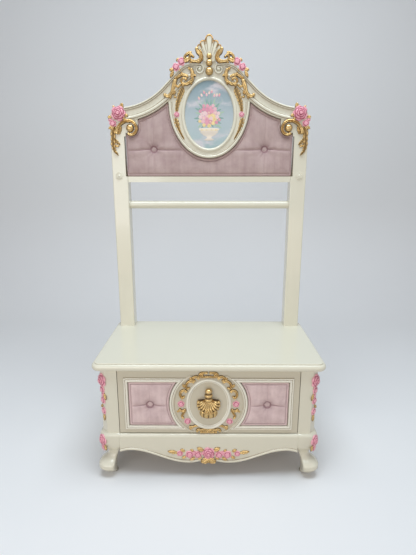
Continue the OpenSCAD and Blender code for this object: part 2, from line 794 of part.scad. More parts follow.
module runner_drawer(side) {
    x0 = 2 * (runner_lip + runner_gap);
    hand(side) color(steel) channel(x0, runner_t, runner_t, runner_h / 2 - x0, runner_y, runner_l);
}

// Posts and rails
module post(side) {
    step_z = bench_h + post_l - pad_drop;
    r = 3;
    hand(side)
        color(ivory)
            difference() {
                translate([-body_hw, post_y, bench_h])
                    linear_extrude(post_l) {
                        translate([r, 0]) square([post_w - 2 * r, post_d]);
                        translate([0, r]) square([post_w, post_d - 2 * r]);
                        for (x = [r, post_w - r]) for (y = [r, post_d - r]) translate([x, y]) circle(r);
                    }
                translate([-open_hw, post_y - 1, step_z]) cube([post_w, post_d + 2, pad_drop + 1]);
                translate([-post_in - socket_depth, post_y + post_d / 2, bench_h + rail_z])
                    rotate([0, 90, 0])
                        cylinder(d = rail_d + fit, h = socket_depth + 1);
                bolt_places() translate([0, 0, bench_h - 1]) cylinder(d = bolt_d + fit, h = bolt_l + 4);
            }
}

module hanging_rail() {
    l = 2 * (post_in + socket_depth - 1);
    color(ivory)
        translate([-l / 2, post_y + post_d / 2, bench_h + rail_z])
            rotate([0, 90, 0])
                cylinder(d = rail_d, h = l);
}

module panel_rail() {
    w = 2 * (post_in - glue);
    color(ivory)
        translate([-w / 2, post_y + 3, crest_z - pad_drop - panel_rail_h])
            cube([w, frame_t + backing_t - 3, panel_rail_h]);
}

// Headboard outlines, in x and height above the posts, left half
function crest_edge(d) = concat(
    [for (k = [0:8]) let (a = crest_heading + (crest_slope - crest_heading) * k / 8)
        [-hollow_x + (crest_low_r + d) * sin(a), hollow_z - (crest_low_r + d) * cos(a)]],
    [for (k = [0:6]) let (a = crest_slope * (1 - k / 6))
        [-crest_flat - (crest_top_r - d) * sin(a), peak_z - crest_top_r + (crest_top_r - d) * cos(a)]],
    [[-volute_x, peak_z - d]]);
// Height of the crest moulding's lower edge over the pad
function arm_low(u) = hollow_z - sqrt(pow(crest_low_r + arm_w, 2) - pow(u - hollow_x, 2));
// Height of the opening at u to the side of the middle, kept g clear of the plaque
function opening_top(u, g = 0) = u < plaque_a ? plaque_z - (plaque_b + g) * sqrt(max(0, 1 - pow(u / (plaque_a + g), 2)))
    : u < scroll_x - scroll_r ? arm_low(u)
    : scroll_z - sqrt(max(0, pow(scroll_r, 2) - pow(u - scroll_x, 2)));

// Columns across half of the opening, closer where its edge turns
function opening_columns() = concat(
    [for (k = [0:8]) plaque_a * sin(90 * k / 8) * (k == 8 ? 0.9999 : 1)],
    [for (f = [0, 0.3, 0.62, 0.85, 1]) plaque_a + 1.4 + (tuft_x - plaque_a - 1.4) * f],
    [for (f = [0.85, 0.62, 0.3, 0]) scroll_x - scroll_r - 0.6 + (tuft_x - scroll_x + scroll_r + 0.6) * f],
    [for (k = [0:6]) min(open_hw, scroll_x - scroll_r * cos(22 * k + 1))]);
function opening_spread() = let (c = opening_columns())
    concat([for (k = [len(c) - 1:-1:1]) -c[k]], c);
// The opening that the frame is cut by; it runs in under the plaque, which covers it
function opening_outline(under) = concat(
    [for (x = opening_spread()) [x, opening_top(abs(x)) + (abs(x) < plaque_a * 0.9 ? under : 0)]],
    [[open_hw, -pad_drop], [-open_hw, -pad_drop]]);

// The plaque's oval, cut off straight above its middle where the crest holds it
function plaque_outline() = [for (p = ellipse(plaque_a, plaque_b, [0, plaque_z], 64)) [p[0], min(p[1], plaque_z + 40)]];

module crest_outline() {
    left = concat([[-body_hw, 0]], arc([-body_hw + crest_r, shoulder_z - crest_r], crest_r, 180, 90, 6), crest_edge(0),
        arc([-volute_x, peak_z - volute_r], volute_r, 75, 0, 5));
    polygon(concat(left, [[0, peak_z - volute_r]], reversed(mirrored(left))));
}

// The crest's moulding: bead, cove and bead across the arm's width, as [distance from the edge, height]
arm_profile = [[45.4, 1], [44.6, 4.5], [42, 6], [39, 4.5], [37, channel_h], [12, channel_h], [9, 6.5], [5, bead_h],
    [1.5, 6.5], [0.6, 3]];
plaque_profile = [[0.7, 2.6], [2, 6], [5, 7], [8, 5.5], [11, 1.8], [13, 0.4]];

module headboard_frame() {
    color(ivory)
        translate([0, post_y, crest_z]) {
            translate([0, frame_t, 0])
                rotate([90, 0, 0])
                    linear_extrude(frame_t)
                        difference() {
                            union() {
                                difference() {
                                    crest_outline();
                                    polygon(opening_outline(6));
                                }
                                polygon(plaque_outline());
                                translate([-volute_x / 2, plaque_z]) square([volute_x, seat_z - plaque_z]);
                            }
                            polygon(ellipse(picture_a + 3.4, picture_b + 3.4, [0, picture_z], 64));
                        }
            pair() translate([open_hw + 0.6, frame_t - 6, glue]) cube([stile_w - 1.2, post_d - frame_t + 6, 20]);
        }
}

// The crest's planted mouldings: an arm and a volute on each side, and the bead round the plaque
module crest_moulding() {
    scale_w = arm_w / 46;
    plaque_start = 178.6;
    color(ivory)
        translate([0, post_y, crest_z]) {
            pair() {
                relief([for (i = [0:15]) [for (p = arm_profile)
                    let (q = crest_edge(p[0] * scale_w)[i]) [q[0], -p[1], q[1]]]], 0);
                translate([-volute_x, 0, peak_z - volute_r]) strip(volute_path(), 3.4, 2.2, bead_h - 0.8);
            }
            translate([0, 0, plaque_z])
                relief([for (k = [0:36]) let (a = plaque_start + (540 - 2 * plaque_start) * k / 36)
                    [for (p = plaque_profile) [(plaque_a - p[0]) * cos(a), -p[1], (plaque_b - p[0]) * sin(a)]]], 0);
        }
}

// The volute rolls in from the crest's top
function volute_path() = [for (k = [0:15]) let (a = 87 - 33 * k, r = volute_r - 3.5 - 0.77 * k) r * [cos(a), sin(a)]];

module headboard_back() {
    inset = 14;
    w = open_hw - glue;
    edge = crest_edge(inset);
    color(timber)
        translate([0, post_y + frame_t + backing_t, crest_z])
            rotate([90, 0, 0])
                linear_extrude(backing_t)
                    polygon(concat([[-w, -pad_drop]], [for (p = edge) [max(p[0], -w), p[1]]],
                        reversed(mirrored([for (p = edge) [max(p[0], -w), p[1]]])), [[w, -pad_drop]]));
}

// Tufted pad of the headboard: crown, drawn-in rim, a sewn pleat across and a button each side
function pad_y(x, z, top) = let (
    e = max(0, min(open_hw - abs(x), z + pad_drop, top - z)), in = 1 - exp(-e / 12),
    d = norm([abs(x) - tuft_x, z - tuft_z]))
    pad_edge - (pad_edge - pad_crown) * in + tuft_depth * gauss(d, 17) * in
    + 0.8 * gauss(z - tuft_z, 4) * in + 0.4 * gauss(abs(x) - tuft_x, 5) * in;

module headboard_pad() {
    color(mauve)
        translate([0, post_y, crest_z])
            relief([for (c = opening_spread())
                let (x = c * (open_hw - fit) / open_hw, low = -pad_drop + fit,
                    top = opening_top(abs(c), 1.2) - (abs(c) < plaque_a ? 0 : 0.9), mid = min(tuft_z, low + 0.6 * (top - low)))
                [for (z = pad_places(low, mid, top)) [x, pad_y(x, z, top), z]]],
                frame_t - fit);
}

module headboard_buttons() {
    y = pad_y(tuft_x, tuft_z, tuft_z + 100) - 3.1;
    color(mauve)
        pair() translate([tuft_x, post_y + y, crest_z + tuft_z]) button();
}

// Rim and picture of the oval
module oval_rim() {
    p = rim_w / 12;
    color(ivory)
        translate([0, post_y, crest_z + picture_z])
            oval_moulding(picture_a + rim_w, picture_b + rim_w,
                [[0, 1], [1.5 * p, 4], [4 * p, 5.5], [7 * p, 4.5], [9 * p, 2.2], [11 * p, 1.4], [12 * p, 0.6]], 56);
}

module oval_picture() {
    color([0.66, 0.80, 0.84])
        translate([0, post_y + fit + picture_t, crest_z + picture_z])
            rotate([90, 0, 0])
                linear_extrude(picture_t) polygon(ellipse(picture_a + 3, picture_b + 3, [0, 0], 64));
}

// Shell finial: seven ribs that fan out from a foot on the crest
shell_lobes = 7;
shell_spread = 62;
function shell_edge(a) = (24 + (shell_h - 24) * pow(cos(a * 1.05), 2))
    * (0.93 + 0.07 * abs(cos(90 * shell_lobes * (a + shell_spread) / shell_spread - 90 * (shell_lobes - 1) / 1)));
module shell_finial() {
    cols = 42;
    foot_z = peak_z - 4;
    color(ivory)
        translate([0, post_y, crest_z + foot_z]) {
            relief([for (i = [0:cols]) let (a = shell_spread * (2 * i / cols - 1))
                [for (v = [0.16, 0.35, 0.55, 0.75, 0.9, 1])
                    let (r = shell_edge(a) * v, rib = abs(sin(180 * shell_lobes * i / cols)))
                    [r * sin(a), -5 + 4 * pow(v, 3) - 3 * rib * sin(90 * v), r * cos(a)]]], 8);
            translate([-13, -4, seat_z - foot_z]) cube([26, 12, foot_z - seat_z + 14]);
        }
}

// Gilt work of the crest, left half: beside the shell, in the arm's channel, and down the plaque
crest_top_runs = [
    [[-26, 226], [-30, 234], [-40, 241], [-38, 254], [-29, 262], [-32, 272]],
    [[-33, 227], [-46, 231], [-62, 240], [-66, 250], [-57, 254], [-51, 247]],
    [[-58, 228], [-66, 236], [-73, 237]]];
// A point of the arm, from its place on the straight (below 0) or on the round (angle), and its depth
function arm_point(u, d) = u <= 0
    ? [-crest_flat - crest_top_r * sin(crest_slope) + u * cos(crest_slope) + d * sin(crest_slope),
        peak_z - crest_top_r * (1 - cos(crest_slope)) + u * sin(crest_slope) - d * cos(crest_slope)]
    : [-crest_flat - (crest_top_r - d) * sin(u), peak_z - crest_top_r + (crest_top_r - d) * cos(u)];
arm_vines = [
    [[-84, 20], [-74, 30], [-60, 30], [-46, 20], [-30, 19], [-16, 28], [-20, 31]],
    [[-8, 19], [38, 20], [28, 30], [16, 30], [8, 20]]];
plaque_runs = [
    [[-101, 134], [-106, 122], [-101, 110], [-107, 98], [-111, 84]],
    [[-111, 53], [-106, 40], [-98, 20], [-90, 3], [-82.5, -9]]];
arm_seat = -bead_h - 0.2;
shell_seat = -6.2;

module crest_scrolls() {
    color(gold)
        translate([0, post_y, crest_z]) {
            pair() {
                translate([0, arm_seat, 0]) {
                    for (run = crest_top_runs) strip(spline(run, 2), 5.5, 3.5, 5);

                    leaf([-124, 192], [-134, 176], 12, 5);
                    leaf([-146, 172], [-160, 158], 12, 5);
                }
                translate([0, -channel_h - 0.2, 0])
                    for (vine = arm_vines) strip(spline([for (v = vine) arm_point(v[0], v[1])], 2), 4.5, 3.5, 7);
                translate([0, -0.2, 0]) {
                    for (run = plaque_runs) strip(spline(run, 2), 5.5, 3.5, 4);
                    leaf([-104, 116], [-118, 124], 8, 4);
                    leaf([-99, 26], [-97, 38], 6, 4);
                }
            }
            half_bead(205, 11.5, 0);
            half_bead(229.5, 10, shell_seat);
            half_bead(248.5, 8.4, shell_seat);
        }
}

// A gilt bead that is flat at the back, on the plane y = seat
module half_bead(z, r, seat) {
    translate([0, seat - 0.3, z])
        rotate([90, 0, 0])
            rotate_extrude()
                polygon(concat([[0, 0]], arc([0, 0], r, 0, 90, 6)));
}

// Gilt work of the corners, left: a scroll on a boss where the arm ends, and a tail on the post
// The scroll's points run about its boss, and the tail's are counted from the post's outer face
corner_curl = [[-30, 5], [-25, 17], [-14, 26], [2, 25], [16, 13], [16, -3], [6, -14], [-7, -12], [-12, 1]];
corner_tail = [[3, 22], [9, 2], [18, -18], [10, -32], [14, -46], [22, -56]];
boss_r = 17;
boss_h = 6.2;

module corner_scrolls() {
    color(gold)
        translate([0, post_y - 0.2, crest_z])
            pair() {
                translate([-body_hw, 0, 0]) {
                    strip(spline(corner_tail, 2), 6, 4, 6);
                    leaf([8, 66], [-4, 56], 12, 5);
                    leaf([40, 96], [50, 106], 12, 5);
                    leaf([30, 46], [34, 26], 12, 5);
                    leaf([14, 16], [28, 8], 10, 5);
                    leaf([8, -10], [-2, -24], 9, 5);
                    leaf([16, -30], [28, -38], 9, 5);
                }
                translate([-scroll_x, 0, scroll_z]) rotate([90, 0, 0]) cylinder(r = boss_r, h = boss_h);
                translate([-scroll_x, 0, scroll_z]) rotate([90, 0, 0]) cylinder(r = 6, h = boss_h + 7);
                translate([-scroll_x, -boss_h - 0.2, scroll_z]) strip(spline(corner_curl, 2), 6, 4, 6);
            }
}

crest_rose_at = [[29.4, -7.5], [-2.4, -6.1]];
crest_rose_r = 11.5;
module headboard_roses() {
    color(rose_pink)
        translate([0, post_y, crest_z])
            pair() {
                translate([0, arm_seat, 0]) {
                    for (p = crest_rose_at) rose(arm_point(p[0], p[1])[0], arm_point(p[0], p[1])[1], crest_rose_r);
                }
                translate([0, -0.2, 0]) {
                    rose(110, 70, 9);
                    rose(-body_hw + 30.5, 73, 20);
                    rose(-body_hw + 10, 40, 11);
                }
            }
}

module post_rosettes() {
    color(ivory)
        translate([0, post_y, crest_z - pad_drop + 2])
            pair()
                translate([body_hw - stile_w / 2, 0, 0])
                    rotate([90, 0, 0])
                        rotate_extrude()
                            polygon([[0, 0], [13, 0], [12, 2], [9, 1.4], [8, 3], [5, 2.4], [3, 4], [0, 4.4]]);
}

bench_top();
pilaster(-1);  // pilaster_left
pilaster(1);  // pilaster_right
rear_stile(-1);  // rear_stile_left
rear_stile(1);  // rear_stile_right
side_panel(-1);  // side_panel_left
side_panel(1);  // side_panel_right
back_panel();
carcass_floor();
stretcher_front();
stretcher_back();
runner_rail(-1);  // runner_rail_left
runner_rail(1);  // runner_rail_right
front_apron();
side_apron(-1);  // side_apron_left
side_apron(1);  // side_apron_right
rear_apron();
leg_front(-1);  // leg_front_left
leg_front(1);  // leg_front_right
leg_rear(-1);  // leg_rear_left
leg_rear(1);  // leg_rear_right
floor_glides();
base_roses();
base_leaves();
drawer_front();
drawer_side(-1);  // drawer_side_left
drawer_side(1);  // drawer_side_right
drawer_back();
drawer_bottom();
drawer_pad(-1);  // drawer_pad_left
drawer_pad(1);  // drawer_pad_right
drawer_buttons();
medallion_rim();
drawer_wreath();
drawer_roses();
crown_pull();
pull_screw();
runner_cabinet(-1);  // runner_cabinet_left
runner_cabinet(1);  // runner_cabinet_right
runner_middle(-1);  // runner_middle_left
runner_middle(1);  // runner_middle_right
runner_drawer(-1);  // runner_drawer_left
runner_drawer(1);  // runner_drawer_right
post(-1);  // post_left
post(1);  // post_right
post_bolts();
panel_rail();
hanging_rail();
headboard_frame();
crest_moulding();
headboard_back();
headboard_pad();
headboard_buttons();
oval_rim();
oval_picture();
shell_finial();
crest_scrolls();
corner_scrolls();
headboard_roses();
post_rosettes();
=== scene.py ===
"""Looks of a child's clothes rack: carved crest, gilding, painted roses, padded panels and lacquer.

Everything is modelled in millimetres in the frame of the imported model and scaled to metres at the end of
each piece. +X is the rack's right seen from the front, +Y its back, +Z up.
"""

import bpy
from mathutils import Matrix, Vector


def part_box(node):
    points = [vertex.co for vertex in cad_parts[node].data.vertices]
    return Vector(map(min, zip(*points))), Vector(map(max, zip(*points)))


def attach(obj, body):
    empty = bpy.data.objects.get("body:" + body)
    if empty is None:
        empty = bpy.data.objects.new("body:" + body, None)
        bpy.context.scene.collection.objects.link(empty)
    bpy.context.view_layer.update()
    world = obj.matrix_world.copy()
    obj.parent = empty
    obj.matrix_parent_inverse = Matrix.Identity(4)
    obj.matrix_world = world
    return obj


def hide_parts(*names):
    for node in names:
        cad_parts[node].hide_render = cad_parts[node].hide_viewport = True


bl_info = {
    "name": "Carved clothes rack",
    "version": (1, 0, 0),
    "blender": (4, 5, 0),
    "location": "View3D > Sidebar > Rack",
    "description": "Models the carving, upholstery and finishes of a child's clothes rack",
    "category": "Add Mesh",
}

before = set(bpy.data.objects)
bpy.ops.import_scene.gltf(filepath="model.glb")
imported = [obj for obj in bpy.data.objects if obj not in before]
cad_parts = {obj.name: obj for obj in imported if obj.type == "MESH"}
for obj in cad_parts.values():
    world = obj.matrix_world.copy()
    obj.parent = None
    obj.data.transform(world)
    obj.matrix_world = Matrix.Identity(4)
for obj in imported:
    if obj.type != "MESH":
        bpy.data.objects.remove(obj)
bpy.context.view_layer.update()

import math

import bmesh
import bpy
from mathutils import Matrix, Vector, noise

SIDES = ((-1, "left"), (1, "right"))
MERGE = 0.004  # points nearer than this are one


def node_box(node):
    """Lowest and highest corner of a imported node, in millimetres."""
    low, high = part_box(node)
    return low * 1000, high * 1000


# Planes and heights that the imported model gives
DRAWER_FACE = 20.3  # from the ends of the drawer's sides to the face of its front
TOP_LOW, TOP_HIGH = node_box("bench_top")
POST_Y = node_box("post_left")[0].y
CREST_Z = node_box("post_left")[1].z
POST_HALF = -node_box("post_left")[0].x
FACE_Y = node_box("drawer_side_left")[0].y - DRAWER_FACE
DRAWER_Z = (node_box("medallion_rim")[0].z + node_box("medallion_rim")[1].z) / 2
DRAWER_HALF = node_box("drawer_front")[1].x
BODY_HALF = -node_box("side_panel_left")[0].x
BODY_BACK = node_box("rear_stile_left")[1].y
BASE_TOP = node_box("pilaster_left")[0].z
PICTURE_Z = (node_box("oval_picture")[0].z + node_box("oval_picture")[1].z) / 2 - CREST_Z
ON_CREST = (0, POST_Y, CREST_Z)
ON_OVAL = (0, POST_Y, CREST_Z + PICTURE_Z)
ON_DRAWER = (0, FACE_Y, DRAWER_Z)
CORNER = 56  # width of a leg's block
CHAMFER = 18  # cut of the front corner posts


# ---- curves

def unit(v):
    return v.normalized() if v.length > 1e-9 else Vector((1, 0))


def smooth_path(points, count):
    """Evenly numbered points on a smooth curve through given ones."""
    pts = [Vector(p) for p in points]
    last = len(pts) - 1
    out = []
    for k in range(count + 1):
        s = k / count * last
        i = min(int(s), last - 1)
        t = s - i
        a, b, c, d = (pts[min(max(j, 0), last)] for j in (i - 1, i, i + 1, i + 2))
        out.append(0.5 * (2 * b + (c - a) * t + (2 * a - 5 * b + 4 * c - d) * t * t
                          + (3 * b - a - 3 * c + d) * t * t * t))
    return out


def along(pts, u):
    """The point at u, 0 to 1, of a path, the direction there and the direction to its left."""
    last = len(pts) - 1
    i = min(int(u * last), last - 1)
    t = unit(pts[min(i + 2, last)] - pts[max(i - 1, 0)])
    return pts[i].lerp(pts[i + 1], u * last - i), t, Vector((-t.y, t.x))


def along_profile(profile, v):
    f = v * (len(profile) - 1)
    i = min(int(f), len(profile) - 2)
    return tuple(a + (b - a) * (f - i) for a, b in zip(profile[i], profile[i + 1]))


def gauss(d, r):
    return math.exp(-d * d / (r * r))


def root(x):
    return math.sqrt(max(0.0, x))


def clamp(x):
    return min(1.0, max(0.0, x))


def ease(x):
    x = clamp(x)
    return x * x * (3 - 2 * x)


def polar(r, degrees):
    return r * math.cos(math.radians(degrees)), r * math.sin(math.radians(degrees))


def read_curve(stations, x):
    """Smoothly interpolated rows of a list whose first entries increase."""
    if x <= stations[0][0]:
        return stations[0][1:]
    for a, b in zip(stations, stations[1:]):
        if x <= b[0]:
            t = ease((x - a[0]) / (b[0] - a[0])) * 0.6 + (x - a[0]) / (b[0] - a[0]) * 0.4
            return tuple(p + (q - p) * t for p, q in zip(a[1:], b[1:]))
    return stations[-1][1:]


# ---- mesh helpers

def new_work():
    bm = bmesh.new()
    # tone: low where the carving is sunk or grooved; the carved finishes darken low tone as painted shade
    bm.verts.layers.float.new("tone")
    return bm


def carve(bm, across, along, place, back, matrix=None, ring=False):
    """A grid moved to place(u, v) -> (x, height, z, tone); its rim is drawn back to the seat and closed.

    A ring has an inner and an outer rim, which are joined behind.
    """
    tone = bm.verts.layers.float["tone"]
    verts = bmesh.ops.create_grid(bm, x_segments=across, y_segments=along, size=0.5)["verts"]
    for v in verts:
        x, h, z, v[tone] = place(v.co.x + 0.5, v.co.y + 0.5)
        v.co = (x, -h, z)
    bmesh.ops.remove_doubles(bm, verts=verts, dist=MERGE)
    verts = [v for v in verts if v.is_valid]
    rim = list(dict.fromkeys(e for v in verts for e in v.link_edges if e.is_boundary))
    made = bmesh.ops.extrude_edge_only(bm, edges=rim)["geom"]
    low = [g for g in made if isinstance(g, bmesh.types.BMVert)]
    for v in low:
        v.co.y = -back
    edges = [g for g in made if isinstance(g, bmesh.types.BMEdge) and g.is_boundary]
    if ring:
        bmesh.ops.bridge_loops(bm, edges=edges)
    else:
        bmesh.ops.contextual_create(bm, geom=edges)
    if matrix is not None:
        bmesh.ops.transform(bm, matrix=matrix, verts=verts + low)
    return verts + low


def skin(bm, rings, tones=None):
    """A closed skin through rings of points, extruded from one to the next."""
    tone = bm.verts.layers.float["tone"]
    first = loop = bmesh.ops.create_circle(bm, cap_ends=False, segments=len(rings[0]), radius=1)["verts"]
    for k, ring in enumerate(rings):
        if k:
            edges = [next(e for e in a.link_edges if e.other_vert(a) is b)
                     for a, b in zip(loop, loop[1:] + loop[:1])]
            made = bmesh.ops.extrude_edge_only(bm, edges=edges)["geom"]
            new = {g for g in made if isinstance(g, bmesh.types.BMVert)}
            loop = [next(e.other_vert(v) for e in v.link_edges if e.other_vert(v) in new) for v in loop]
        for v, p in zip(loop, ring):
            v.co = p
            v[tone] = tones[k] if tones else 1
    for end in (first, loop):
        bmesh.ops.contextual_create(bm, geom=list(end))


def lathe(bm, profile, centre, axis, steps=40, flatten=1.0, form=lambda p: (p, 1)):
    """A profile of (radius, height) turned about an axis, with form(point) -> (point, tone), flatter along Y."""
    layer = bm.verts.layers.float["tone"]
    verts = [bm.verts.new((r, 0, h)) for r, h in profile]
    edges = [bm.edges.new(pair) for pair in zip(verts, verts[1:])]
    bmesh.ops.spin(bm, geom=verts + edges, cent=(0, 0, 0), axis=(0, 0, 1), dvec=(0, 0, 0), angle=2 * math.pi,
                   steps=steps, use_merge=True, use_duplicate=False)
    island = set(verts)
    grow = list(verts)
    while grow:
        found = {v for e in grow.pop().link_edges for v in e.verts} - island
        island |= found
        grow += found
    for v in island:
        v.co, v[layer] = form(v.co.copy())
        v.co.y *= flatten
    turn = Vector((0, 0, 1)).rotation_difference(Vector(axis)).to_matrix().to_4x4()
    bmesh.ops.transform(bm, matrix=Matrix.Translation(Vector(centre)) @ turn, verts=list(island))
    return island


def finish_piece(bm, name, finish, nodes=(), crease=38, body="rack", at=None):
    """The finished object: normals outwards, smooth with sharp edges kept, scaled, riding on its body."""
    if at:
        bmesh.ops.translate(bm, vec=at, verts=bm.verts)
    bmesh.ops.remove_doubles(bm, verts=bm.verts, dist=MERGE)
    bmesh.ops.recalc_face_normals(bm, faces=bm.faces)
    bmesh.ops.scale(bm, vec=(0.001,) * 3, verts=bm.verts)
    for f in bm.faces:
        f.smooth = True
    for e in bm.edges:
        e.smooth = e.calc_face_angle(0) < math.radians(crease)
    mesh = bpy.data.meshes.new(name)
    bm.to_mesh(mesh)
    bm.free()
    obj = bpy.data.objects.new(name, mesh)
    bpy.context.scene.collection.objects.link(obj)
    mesh.materials.append(finish_material(finish))
    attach(obj, body)
    if nodes:
        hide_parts(*nodes)
    return obj


# ---- carving tools

def ribbon(bm, path, w0, w1, h, count=36, side=1, seat=0.0, groove=0.35, nicks=0, eye=0.0, back=None):
    """A carved scroll on a plane: a rounded band with a sunk middle line, rounded ends and leafy nicks."""
    pts = smooth_path(path, count)

    def place(u, v):
        s = 2 * v - 1
        p, _, n = along(pts, u)
        end = min(1.0, root(1 - (1 - min(u / 0.06, (1 - u) / 0.04, 1.0)) ** 2) + 0.06)
        nick = 1 - 0.24 * abs(math.sin(math.pi * nicks * u)) ** 3 * (1 if s > 0 else 0.5)
        w = (w0 + (w1 - w0) * u) * end * nick
        q = p + n * s * w
        round_top = root(1 - abs(s) ** 2.2)
        cut = groove * gauss(s, 0.26) * min(1.0, 6 * min(u, 1 - u))
        high = h * (0.55 + 0.45 * end) * max(0.0, round_top - cut)
        return q.x * side, seat + 0.4 + high, q.y, clamp(round_top - 1.3 * cut)

    carve(bm, count, 10, place, seat - 0.6 if back is None else back)
    if eye:
        dome(bm, (pts[-1].x * side, pts[-1].y), eye, h * 1.25, seat)


def acanthus(bm, path, widths, h, lobes, side, back, count=60):
    """A broad carved leaf on a curved spine: scooped lobes to both sides, veins and a raised spine."""
    pts = smooth_path(path, count)
    spread = [(k / (len(widths) - 1), w) for k, w in enumerate(widths)]

    def place(u, v):
        s = 2 * v - 1
        p, t, n = along(pts, u)
        phase = (lobes * u + (0.5 if s > 0 else 0)) % 1
        end = root(min(1.0, 14 * min(u, 1 - u)))
        wide = read_curve(spread, u)[0] * end * (0.62 + 0.38 * phase ** 0.6 * (1 - phase ** 8))
        q = p + n * s * wide + t * abs(s) * 2.0
        scoop = math.sin(math.pi * phase) * abs(s)
        vein = gauss(s, 0.14) - gauss(abs(s) - 0.3, 0.12)
        rise = h * end * (0.4 + 0.6 * root(1 - s * s))
        high = max(0.15, rise + 0.22 * h * vein * end + 0.3 * h * (scoop - 0.5) * abs(s))
        return q.x * side, high, q.y, clamp(0.55 + 0.35 * vein + 0.5 * (scoop - 0.35))

    carve(bm, count, 14, place, back)


def dome(bm, centre, r, h, seat=0.0, steps=20):
    """A round bead with a flat back."""
    def place(u, v):
        a = 2 * math.pi * u
        rho = math.sin(v * math.pi / 2)
        high = h * math.cos(v * math.pi / 2)
        return (centre[0] + r * rho * math.cos(a), seat + high, centre[1] + r * rho * math.sin(a),
                0.35 + 0.65 * high / h)

    carve(bm, steps, 7, place, seat - 0.5)


def leaf(bm, foot, tip, w, h, side=1, seat=0.0, matrix=None, back=None):
    """A carved leaf: a sunk midrib, veins to both sides, a waved edge and a lifted tip."""
    a = Vector(foot)
    d = Vector(tip) - a
    n = Vector((-d.y, d.x)).normalized()
    lobes = 3

    def place(u, v):
        s = 2 * v - 1
        body = math.sin(math.pi * min(0.985, 0.06 + 0.94 * u)) ** 0.75
        wide = w / 2 * body * (1 + 0.16 * math.sin(2 * math.pi * lobes * u))
        q = a + d * u + n * (s * wide)
        vein = 0.16 * math.sin(2 * math.pi * (lobes * 1.6 * u - 1.2 * abs(s))) * (1 - abs(s)) * body
        rise = h * body ** 0.6 * (0.25 + 0.75 * root(1 - s * s)) - 0.5 * h * gauss(s, 0.16) * body
        high = max(0.15, rise + h * vein + 0.35 * h * u * u)
        return q.x * side, seat + high, q.y, clamp(0.15 + rise / h + vein)

    carve(bm, 18, 12, place, seat - 0.5 if back is None else back, matrix)


# Reach, number, turn and height of each ring of petals
PETAL_RINGS = ((1.0, 5, 0.0, 0.19), (0.73, 5, 0.62, 0.21), (0.47, 4, 0.25, 0.19), (0.23, 3, 0.9, 0.15))
SMALL_PETAL_RINGS = ((1.0, 5, 0.0, 0.26), (0.58, 4, 0.62, 0.30))
SMALL_ROSE = 14.5  # roses up to this radius have fewer petals


def rose(bm, x, z, r, side=1, seat=0.0, matrix=None, turn=0.0, depth=0.62, squash=1.0):
    """A carved rose: rings of lipped petals that step up to a rolled heart, with a low tone between the rings for
    painted shade.
    """
    rings, line, deep = (PETAL_RINGS, 0.075, 1.3) if r > SMALL_ROSE else (SMALL_PETAL_RINGS, 0.12, 1.7)

    def petal_edge(ring, a):
        reach, count, phase, _ = ring
        return reach * (1 - 0.17 * abs(math.cos(count * (a + phase + turn) / 2)) ** 6)

    def place(u, v):
        a = 2 * math.pi * u
        rho = v * petal_edge(rings[0], a)
        high = 0.08 * root(1 - v ** 4)
        tone = 0.8
        for ring in rings:
            edge = petal_edge(ring, a + 0.5 * (1 - rho))
            inside = ease((edge - rho) / 0.05 + 0.2)
            lip = gauss(edge - rho - 0.05, 0.05)
            high += ring[3] * inside * (0.7 + 0.3 * ease((edge - rho) / 0.2)) + 0.05 * lip
            if ring is not rings[0]:
                high -= 0.06 * gauss(rho - edge - 0.04, 0.04)
                tone = min(tone, 1 - deep * gauss(rho - edge - 0.04, line))
            tone = max(tone, lip) if rho < edge else tone
        radius = r * rho
        return ((x + radius * math.cos(a)) * side, seat + r * depth * high / 0.75,
                z + squash * radius * math.sin(a), clamp(tone))

    carve(bm, 48, 30, place, seat - 0.5, matrix)


# ---- shader nodes

def feed(tree, inputs, values):
    """Sets each input to its value, or links it to the socket given."""
    for key, value in values.items():
        if isinstance(value, bpy.types.NodeSocket):
            tree.links.new(value, inputs[key])
        else:
            inputs[key].default_value = value


def node(tree, kind, inputs, **settings):
    made = tree.nodes.new("ShaderNode" + kind)
    for key, value in settings.items():
        setattr(made, key, value)
    feed(tree, made.inputs, inputs)
    return made.outputs


def calc(tree, operation, *values):
    return node(tree, "Math", dict(enumerate(values)), operation=operation)[0]


def mix_colour(tree, factor, a, b):
    return node(tree, "Mix", {0: factor, 6: a, 7: b}, data_type="RGBA")[2]


def remap(tree, value, low, high, to_low=0.0, to_high=1.0, **settings):
    return node(tree, "MapRange", {"Value": value, "From Min": low, "From Max": high, "To Min": to_low,
                                   "To Max": to_high}, **settings)[0]


def noise_node(tree, vector, scale, detail, **more):
    return node(tree, "TexNoise", {"Vector": vector, "Scale": scale, "Detail": detail, **more})["Fac"]


def stretched(tree, vector, scale):
    return node(tree, "Mapping", {"Vector": vector, "Scale": scale})[0]


def attribute(tree, name):
    return node(tree, "Attribute", {}, attribute_name=name, attribute_type="GEOMETRY")


def recess_shade(tree, given):
    """Painted shade in the carving: the recess colour gathers where the tone is low, broken up by brushwork."""
    brush = noise_node(tree, given["Vector"], 160.0, 4.0)
    raised = calc(tree, "ADD", given["Tone"], calc(tree, "MULTIPLY_ADD", brush, 0.35, -0.17))
    mask = remap(tree, raised, 0.0, given["Reach"], 1.0, 0.0, interpolation_type="SMOOTHSTEP")
    return {"Color": mix_colour(tree, mask, given["Body"], given["Recess"]), "Mask": mask}


def coat(tree, given):
    """Sprayed coat: soft cloudiness, a faint orange peel and uneven gloss."""
    cloud = noise_node(tree, given["Vector"], 5.0, 5.0, Roughness=0.55)
    peel = noise_node(tree, given["Vector"], 70.0, 1.0)
    return {"Color": mix_colour(tree, remap(tree, cloud, 0.35, 0.8, 0.0, 0.35), given["Body"], given["Shade"]),
            "Roughness": calc(tree, "MULTIPLY_ADD", cloud, 0.08, given["Gloss"]),
            "Height": calc(tree, "MULTIPLY", peel, given["Peel"])}


